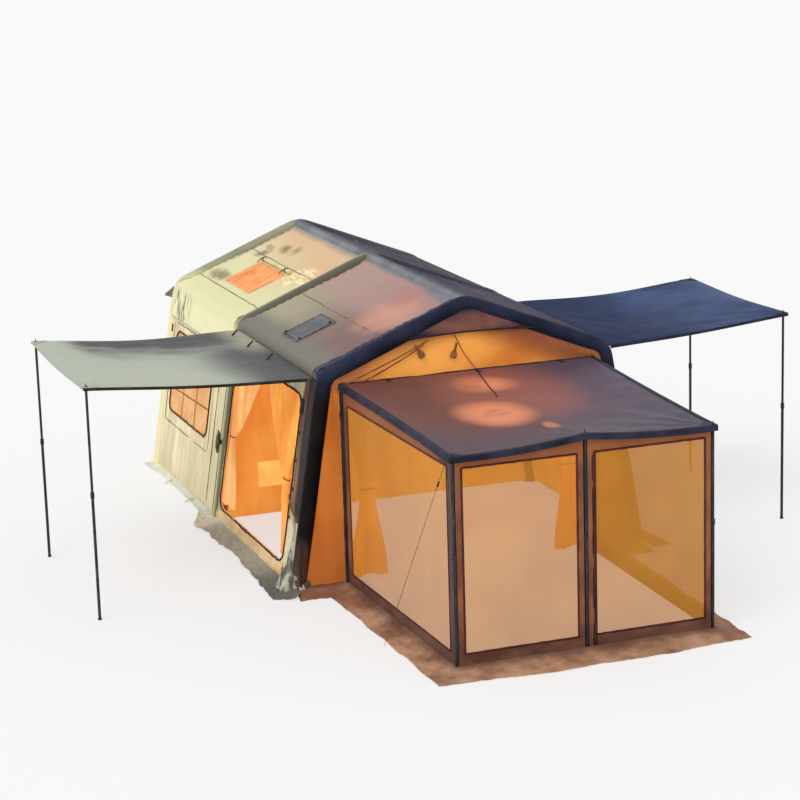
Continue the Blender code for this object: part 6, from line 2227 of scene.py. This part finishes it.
def wall_line(side, path, out=0.006, shake=0.006, seed=0, size=0.07):
    """A path of (y, h) pairs on a side wall that wanders by small folds."""
    length = np.concatenate([[0], np.cumsum(np.linalg.norm(np.diff(path, axis=0), axis=1))])
    y = path[:, 0] + shake * ripples(length, 0.0, size, seed)
    h = path[:, 1] + shake * ripples(length, 3.0, size, seed + 1)
    return mirror(on_wall(y, h, out), SIDES[side])


def piping(name, line, radius, material, steps=300):
    """A thin round tube along a line."""
    tube = swept(line, radius, PIPING_SIDE, steps, 8)
    made = tube_piece(name, tube, material)


def hole_path(hole, out):
    """The outline of a hole, moved outwards and closed."""
    low = (hole["y"][0] - out, hole["h"][0] - out)
    high = (hole["y"][1] + out, hole["h"][1] + out)
    path = outline(low, high, hole["corner"] + out, 90)
    return np.concatenate([path, path[:2]])


print("the door's outline is", round(line_length(hole_path(DOOR, 0.0)), 2), "m long")


# %% Trim of windows and rear walls
def make_window_trim(side, seed):
    """Piping round the window, the seam of its cover, two upright bars and a level one."""
    (y0, y1), (h0, h1) = WINDOW["y"], WINDOW["h"]
    line = wall_line(side, hole_path(WINDOW, 0.004), 0.008, 0.005, seed)
    piping(f"window_piping_{side}", line, PIPING_RADIUS, RED_TRIM, steps=360)
    cover = {"y": (y0 - 0.10, y1 + 0.12), "h": (h0 - 0.13, h1 + 0.08), "corner": 0.05}
    line = wall_line(side, hole_path(cover, 0.0), 0.005, 0.003, seed + 2, 0.2)
    piping(f"window_cover_seam_{side}", line, THIN_PIPING, SEAM)
    first, second = y0 + (y1 - y0) / 3, y0 + (y1 - y0) * 2 / 3
    bars = {"upright_0": [(first, h0), (first, h1)], "upright_1": [(second, h0), (second, h1)],
            "level": [(y0, 0.98), (y1, 0.94)]}
    for name, ends in bars.items():
        path = along(np.array(ends), np.linspace(0, 1, 40))
        line = wall_line(side, path, 0.006, 0.002, seed + 4, 0.3)
        outwards = OUTWARD * [SIDES[side], 1, 1]
        made = band(f"window_bar_{side}_{name}", line, 0.012, outwards, STRAP, TAPE)


def make_wall_seams(side, seed):
    """Two dark seams down the rear bay's wall, close behind the middle arch."""
    for k, y in enumerate((2.62, 2.90)):
        path = along(np.array([(y, 0.12), (y + 0.02, 0.9), (y, 1.60)]), np.linspace(0, 1, 60))
        line = wall_line(side, path, 0.004, 0.004, seed + k, 0.2)
        piping(f"wall_seam_{side}_{k}", line, THIN_PIPING, RED_TRIM, steps=120)


print("a window's outline is", round(line_length(hole_path(WINDOW, 0.0)), 2), "m long")


# %% Trim of the doors
SILL_EXTRA = 0.04
SILL_CUT_HEIGHT = 0.16


def make_door_trim(side, seed):
    """Piping round the door, and a sill band that bellies between its two edges."""
    line = wall_line(side, hole_path(DOOR, 0.006), 0.007, 0.006, seed)
    piping(f"door_piping_{side}", line, PIPING_RADIUS, DARK_TRIM)
    (y0, y1), foot = DOOR["y"], DOOR["h"][0]
    y = steps_over(150, y0 - SILL_EXTRA, y1 + SILL_EXTRA)
    t = steps_down(24)
    h = 0.035 + t * (foot - 0.045) + 0.010 * np.sin(7 * y) * t
    belly = arc(t)
    out = 0.010 + 0.012 * belly + 0.007 * ripples(y, t * 0.3, 0.22, seed + 5) * belly
    grid = mirror(on_wall(y, h, out), SIDES[side])
    sill = piece(f"door_sill_{side}", grid, SILL, CLOTH, flip=side == "right")
    as_sheet(sill, float(y1 - y0) + 2 * SILL_EXTRA, SILL_CUT_HEIGHT, "hung",
             [f"wall_sheet_{side}_front"])


for k, side in enumerate(SIDES):
    make_window_trim(side, 211 + 20 * k)
    make_wall_seams(side, 215 + 20 * k)
    make_door_trim(side, 221 + 20 * k)

# %% The middle arch's leg
VALVE_AT = FRONT_BAY
ON_LEG = BEAM_RADIUS - WALL_LIFT + 0.004
FLANK = {"y": (VALVE_AT + 0.036, VALVE_AT + 0.24), "h": (0.06, 1.58)}
FLANK_GRID = (100, 44)
FLANK_CUT_WIDTH = 0.22


def off_leg(columns, extra=0.0):
    """Distances off the wall that fall from the leg's flank to the wall, eased at both ends."""
    fall = 1 - ease(0.0, 1.0, steps_over(columns))
    return (ON_LEG - 0.012) * fall + 0.006 + extra


def make_leg_flank(side, seed):
    """The loose cloth that covers the step between the middle arch's leg and the rear wall."""
    rows, columns = FLANK_GRID
    y = steps_over(columns, *FLANK["y"])
    h = steps_down(rows, *FLANK["h"])
    hung = arc(steps_over(columns))
    out = off_leg(columns) + 0.006 * hung * ripples(y, h * 0.12, 0.05, seed)
    grid = mirror(on_wall(y, h, out), SIDES[side])
    made = piece(f"leg_flank_{side}", grid, PALE_SLEEVE, CLOTH, flip=side == "right")
    as_sheet(made, FLANK_CUT_WIDTH, FLANK["h"][1] - FLANK["h"][0], "hung", ["sleeve_middle"])


for side in SIDES:
    make_leg_flank(side, 235)

# %% Pocket, flag, tabs and strap
PATCH_STEPS = 24


def wall_patch(name, side, y0, y1, h0, h1, out, material, seed, puff):
    """A small piece of cloth on a side wall, sewn flat at its rim and puffed in the middle."""
    y = steps_over(PATCH_STEPS, y0, y1)
    h = steps_down(PATCH_STEPS, h0, h1)
    u, v = (y - y0) / (y1 - y0), (h - h0) / (h1 - h0)
    lift = out + puff * (arc(u) * arc(v)) ** 0.6
    lift = lift + 0.2 * puff * ripples(y, h, 0.06, seed)
    grid = mirror(on_wall(y, h, lift), SIDES[side])
    made = piece(name, grid, material, 0.0015, flip=side == "right")


wall_patch("valve_pocket", "left", VALVE_AT + 0.038, VALVE_AT + 0.20, 0.68, 0.88,
           off_leg(PATCH_STEPS, 0.012), POCKET, 231, 0.020)
wall_patch("door_flag_left", "left", 0.30, 0.40, 1.56, 1.70, 0.012, DARK_TRIM,
           232, 0.006)
for k, h in enumerate((0.60, 0.86, 1.12, 1.38)):
    wall_patch(f"door_tab_left_{k}", "left", 0.335, 0.375, h, h + 0.022, 0.008, DARK_TRIM,
               233 + k, 0.003)
strap = on_wall(np.array([0.42, 0.38, 0.30, 0.20, 0.12, 0.115]),
                np.array([0.80, 0.76, 0.72, 0.70, 0.69, 0.74]),
                np.array([0.01, 0.012, 0.02, 0.03, 0.045, 0.047]))
piping("door_strap", along(strap, np.linspace(0, 1, 60)), 0.006, STRAP, steps=80)
print("strap", round(line_length(strap), 2), "m long")


# %% Tabs at the eave and ties of the valance
def make_corner_tab(name, side, y, way):
    """A triangle of webbing from the eave's corner, to which a guy line can be tied."""
    t = steps_down(20)
    u = steps_over(12, -1, 1)
    wide = 0.055 * (1 - t) + 0.010
    root = EAVE_BEAM + LEG_OUT * (COVER + 0.002) - LEG_UP * 0.06
    x = root[0] - 0.09 * t
    z = root[1] + u * wide - 0.03 * t
    depth = y + way * 0.05 * t + 0.006 * np.sin(5 * t + 3 * u)
    grid = mirror(grid_of(x, depth, z), SIDES[side])
    made = piece(name, grid, SEAM, THIN_CLOTH, flip=side == "left")


for side in SIDES:
    make_corner_tab(f"guy_tab_rear_{side}", side, CABIN_LENGTH - 0.02, 1)
for side in SIDES:
    for k, y in enumerate((3.05, 3.75, 4.45)):
        wall_patch(f"valance_tie_{side}_{k}", side, y, y + 0.05, 1.56, 1.64, COVER + 0.02,
                   DARK_TRIM, 241 + k, 0.004)

# %% Straps on the gable
def gable_tape(name, points, width=0.014):
    """A tape hung in front of the gable, a little slack between its ends."""
    t = np.linspace(0, 1, 60)
    line = along(np.array([(x, -GUSSET_LIFT - 0.006, z) for x, z in points]), t)
    line[:, 2] -= 0.012 * arc(t)
    made = band(name, line, width, (0, -1, 0), STRAP, TAPE)


def make_paddle(name, x, z, lean):
    """A leather-like pull: narrow at its neck and broad at its end."""
    t = steps_down(30)
    u = steps_over(10, -1, 1)
    wide = 0.010 + 0.022 * ease(0.35, 0.75, t) * (1 - 0.55 * ease(0.9, 1.0, t))
    across, down = u * wide, 0.15 * (0.5 - t)
    grid = grid_of(x + across * math.cos(lean) - down * math.sin(lean),
                   -GUSSET_LIFT - 0.012 - 0.004 * (1 - u ** 2),
                   z + across * math.sin(lean) + down * math.cos(lean))
    made = piece(name, grid, STRAP, 0.004)


gable_tape("gable_tape_long", [(-0.38, 2.19), (-1.17, 1.875)])
gable_tape("gable_tape_short", [(-0.43, 2.15), (-1.01, 1.875)])
gable_tape("gable_tape_middle", [(-0.14, 2.22), (-0.05, 2.05), (0.06, 1.885)], 0.010)
make_paddle("gable_pull_left", -0.48, 2.10, 0.55)
make_paddle("gable_pull_right", -0.14, 2.07, -0.30)

# %% Fastenings along the porch's back edge
HOOK = np.array([(0.0, 0.0, 0.0), (0.012, -0.012, 0.008), (0.03, -0.012, 0.004),
                 (0.034, 0.004, 0.002)])


def make_porch_hooks():
    """A short webbing tab with a hook at three places, and a tape that lies on the roof."""
    for k, x in enumerate((-0.79, 0.07, 0.88)):
        t = np.linspace(0, 1, 12)
        y = np.linspace(PORCH_BACK - 0.002, PORCH_BACK - 0.075, 12)
        line = grid_of(x, y, porch_height(x, y) + 0.005 + 0.012 * arc(t))
        made = band(f"porch_hook_strap_{k}", line, 0.022, (0, 0, 1), DARK_TRIM, steps=20)
        hook = along(line[-1] + HOOK, np.linspace(0, 1, 24))
        piping(f"porch_hook_{k}", hook, 0.0035, BLACK_METAL, steps=30)
    x = np.linspace(0.07, -0.05, 60)
    y = np.linspace(PORCH_BACK - 0.004, -0.85, 60)
    line = grid_of(x, y, porch_height(x, y) + porch_folds(x, y) + 0.005)
    made = band("porch_roof_tape", line, 0.012, (0, 0, 1), DARK_TRIM, TAPE)


make_porch_hooks()

# %% [markdown]
# ## Partition panel, post sleeves and bunched cloth
#
# Inside, the partition has a paler panel. Outside, a dark strip covers each rear pole of the
# porch, and spare cloth is bunched round the feet of the front arch.

# %% Panel and post sleeves
PANEL_CUT = (0.84, 0.25)
POST_RADIUS = 0.026


def make_partition_panel():
    """A rectangle that follows the partition's folds, a little in front of it."""
    x = steps_over(60, -1.26, -0.42)
    z = steps_down(30, 0.30, 0.55)
    y = FRONT_BAY - PARTITION_LIFT - 0.012 + end_wall_slack(x, z, 64)
    sheet = piece("partition_panel", grid_of(x, y, z), PANEL, THIN_CLOTH, flip=True)
    as_sheet(sheet, *PANEL_CUT, "stretched", ["partition_sheet"])


def make_post_strip(side):
    """A strip of dark cloth from the porch roof to the ground along the rear pole."""
    way = -SIDES[side]
    z = steps_down(90, 0.02, PORCH_HEIGHT["rear"] - 0.02)
    angle = steps_over(20, -0.5 * math.pi, 0.9 * math.pi)
    radius = POST_RADIUS + 0.004 * ripples(z, angle * 0.03, 0.14, 251)
    x = way * (PORCH_REAR_HALF_WIDTH + radius * np.cos(angle))
    y = PORCH_BACK - 0.018 - radius * np.sin(angle) * 0.7
    grid = grid_of(x, y, z)
    made = piece(f"porch_post_strip_{side}", grid, DARK_TRIM, 0.0015, flip=side == "left")


make_partition_panel()
for side in SIDES:
    make_post_strip(side)
print("post strips:", len(SIDES))

# %% Bunched cloth
BUNCH_TOP = 0.62
BUNCH_Y = 0.075
BUNCH_CUT_WIDTH = 0.75


def make_foot_bunch(name, side, seed):
    """Cloth gathered round an arch's leg: pleated and tight above, spread at the ground."""
    line = in_plane(np.stack([BASE, BASE + LEG_UP * BUNCH_TOP]), BUNCH_Y)

    def radius(t, angle):
        """Widens towards the ground as a power of the height left, plus pleats and crumples."""
        spread = 0.070 + 0.090 * (1 - t) ** 2.2
        pleats = np.abs(ripples(angle * 0.10 + 0.3 * t, t * 0.10, 0.045, seed))
        crumple = np.maximum(ripples(angle * 0.12, t * BUNCH_TOP, 0.12, seed + 1), -0.4)
        return spread + (0.004 + 0.020 * (1 - t)) * pleats + 0.022 * (1 - t) ** 1.3 * crumple

    tube = swept(line, radius, Y_AXIS, 80, 120, closed_ends=False)
    tube[..., 2] = np.maximum(tube[..., 2], SKIRT_SEAT)
    made = piece(name, mirror(tube, SIDES[side]), BUNCH, THIN_CLOTH, closed=True,
                 flip=side == "left")
    as_sheet(made, BUNCH_CUT_WIDTH, BUNCH_TOP, "gathered", ["sleeve_front"])


make_foot_bunch("foot_bunch_left", "left", 261)
print("bunch", BUNCH_TOP, "m high")

# %% [markdown]
# ## Corners of the awnings and of the porch roof
#
# Where a pole's spike goes through, the cloth is doubled by a triangle and has a ring. The
# triangle is cut out of the sheet's own grid, so it follows the same folds.

# %% Corner patches and rings
CORNER_CELLS = 11
CORNER_LIFT = 0.004
RING_RADIUS = 0.011
LONG_RING = 0.017
RING_THICKNESS = 0.0025
RING_LIFT = 0.006


def corner_patch(name, grid, corner, material, body):
    """The cells of a grid's corner whose two indices sum to less than a limit."""
    flip_i, flip_j = (1 if c == 0 else -1 for c in corner)
    part = grid[::flip_i, ::flip_j][:CORNER_CELLS, :CORNER_CELLS] + CORNER_LIFT * Z_AXIS
    cells = np.arange(CORNER_CELLS - 1)
    keep = cells[:, None] + cells[None, :] < CORNER_CELLS - 2
    made = piece(name, part, material, THIN_CLOTH, body, keep=keep)


def ring(name, centre, wide, body):
    """An eyelet as wide as given along x; an awning's is long, so that the spike tilts in it."""
    angle = steps_down(26, 0, TURN)
    line = centre + np.cos(angle) * wide * X_AXIS + np.sin(angle) * RING_RADIUS * Y_AXIS
    tube = swept(line, RING_THICKNESS, Z_AXIS, 26, 8)
    made = tube_piece(name, tube, BLACK_METAL, body=body)


def over_pole(node, grid):
    """A point just above a sheet's grid, over the middle of a pole's box."""
    low, high = (np.array(corner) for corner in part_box(node))
    at = ((low + high) / 2 - ORIGIN)[:2]
    far = np.linalg.norm(grid[..., :2] - at, axis=-1)
    return np.array([*at, float(grid[..., 2].ravel()[far.argmin()]) + RING_LIFT])


def make_corners():
    """A patch and a ring at each pole's spike."""
    for side, grid in awning_grids.items():
        body = "awning_" + side
        for end, corner in (("front", (1, 0)), ("back", (1, 1))):
            dye = LEFT_AWNING if side == "left" else NAVY_TRIM
            corner_patch(f"{body}_patch_{end}", grid, corner, dye, body)
            at = over_pole(f"awning_pole_{side}_{end}_upper", grid)
            ring(f"{body}_ring_{end}", at, LONG_RING, body)
    for side, corner in (("left", (1, 0)), ("right", (1, 1))):
        corner_patch(f"porch_corner_{side}", porch_grid, corner, NAVY_TRIM, "tent")
        at = over_pole(f"porch_pole_front_{side}_upper", porch_grid)
        ring(f"porch_ring_{side}", at, RING_RADIUS, "tent")
    at = over_pole("porch_pole_front_centre_upper", porch_grid)
    ring("porch_ring_centre", at, RING_RADIUS, "tent")


make_corners()

# %% Toggles at the left eave
TOGGLE_ROW = 8
TOGGLES_AT = (1.00, 1.62, 2.12)
TOGGLE_LEAN = np.array([0.62, 0.0, 0.55])
TOGGLE_LIFT = 0.030
TOGGLE_REACH = 0.045
TOGGLE_RADIUS = 0.010


def make_awning_toggles():
    """Three toggles that hold the left awning's inner edge to the eave, each leaning inwards."""
    grid = awning_grids["left"]
    for k, y in enumerate(TOGGLES_AT):
        column = int(np.abs(grid[TOGGLE_ROW, :, 1] - y).argmin())
        at = grid[TOGGLE_ROW, column] + TOGGLE_LIFT * Z_AXIS
        line = at + steps_down(12, -TOGGLE_REACH, TOGGLE_REACH) * TOGGLE_LEAN
        tube = swept(line, TOGGLE_RADIUS, Y_AXIS, 14, 10)
        made = tube_piece(f"awning_toggle_left_{k}", tube, BLACK_PLASTIC, body="awning_left")


make_awning_toggles()
print("toggles:", len(TOGGLES_AT))

# %% [markdown]
# ## Zip, loops and the carried-over solids
#
# The right front panel of the porch opens with a zip beside the centre pole. Webbing loops
# along the walls' foot take the pegs. The poles, the valve and the sliders are the solids
# themselves, because their shapes are right: they only need their finish.

# %% The porch's zip
ZIP_FOOT = 0.06
ZIP_HALF_GAP = 0.011
ZIP_TAPE = 0.014
ZIP_OUT = 0.0022


def make_zip():
    """Two tapes with a narrow gap between them, up the whole opening."""
    x = PORCH_WALLS["front_left"][2]
    z = np.linspace(ZIP_FOOT, MESH_HEAD, 60)
    for k, way in enumerate((-1, 1)):
        line = grid_of(x + way * ZIP_HALF_GAP, -PORCH_LENGTH - ZIP_OUT, z)
        made = band(f"porch_zip_tape_{k}", line, ZIP_TAPE, (0, -1, 0), DARK_TRIM, 0.0008)


make_zip()
print("zip", round(MESH_HEAD - ZIP_FOOT, 2), "m long")


# %% Ground loops
LOOP_REACH = 0.10
LOOP_HALF_WIDTH = 0.022
LOOP_TOP = 0.045
LOOP_FALL = 0.038


def make_ground_loops():
    """Half rings of webbing that lie flat, just outside the walls' foot."""
    side_x = -float(on_wall(0.0, 0.0, 0.0)[0])
    places = [(way * side_x, y, way, 0) for way in (-1, 1) for y in (0.9, 1.7, 3.3, 4.1)]
    places += [(x, -PORCH_LENGTH, 0, -1) for x in (-0.75, -0.30, 0.45, 0.90)]
    for k, (x, y, ahead_x, ahead_y) in enumerate(places):
        webbing = BROWN if ahead_y else SKIRT
        angle = np.linspace(0, math.pi, 18)
        reach, wide = LOOP_REACH * np.sin(angle), LOOP_HALF_WIDTH * np.cos(angle)
        line = grid_of(x + ahead_x * reach + abs(ahead_y) * wide,
                       y + ahead_y * reach + abs(ahead_x) * wide,
                       LOOP_TOP - LOOP_FALL * np.sin(angle))
        made = band(f"peg_loop_{k}", line, 0.016, (0, 0, 1), webbing, 0.0015, steps=30)


make_ground_loops()

# %% Finish of the carried-over solids
def dress(node, material):
    """A carried-over solid keeps its mesh and gets a finish in its own material slots."""
    for slot in bpy.data.objects[node].material_slots:
        slot.material = material


shown = [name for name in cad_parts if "pole" in name]
for name in shown:
    dress(name, BLACK_METAL)
dress("porch_zip_slider", BLACK_METAL)
for name in ("guy_line_slider", "inflation_valve", "inflation_valve_cap"):
    dress(name, BLACK_PLASTIC)
print("poles dressed:", len(shown))
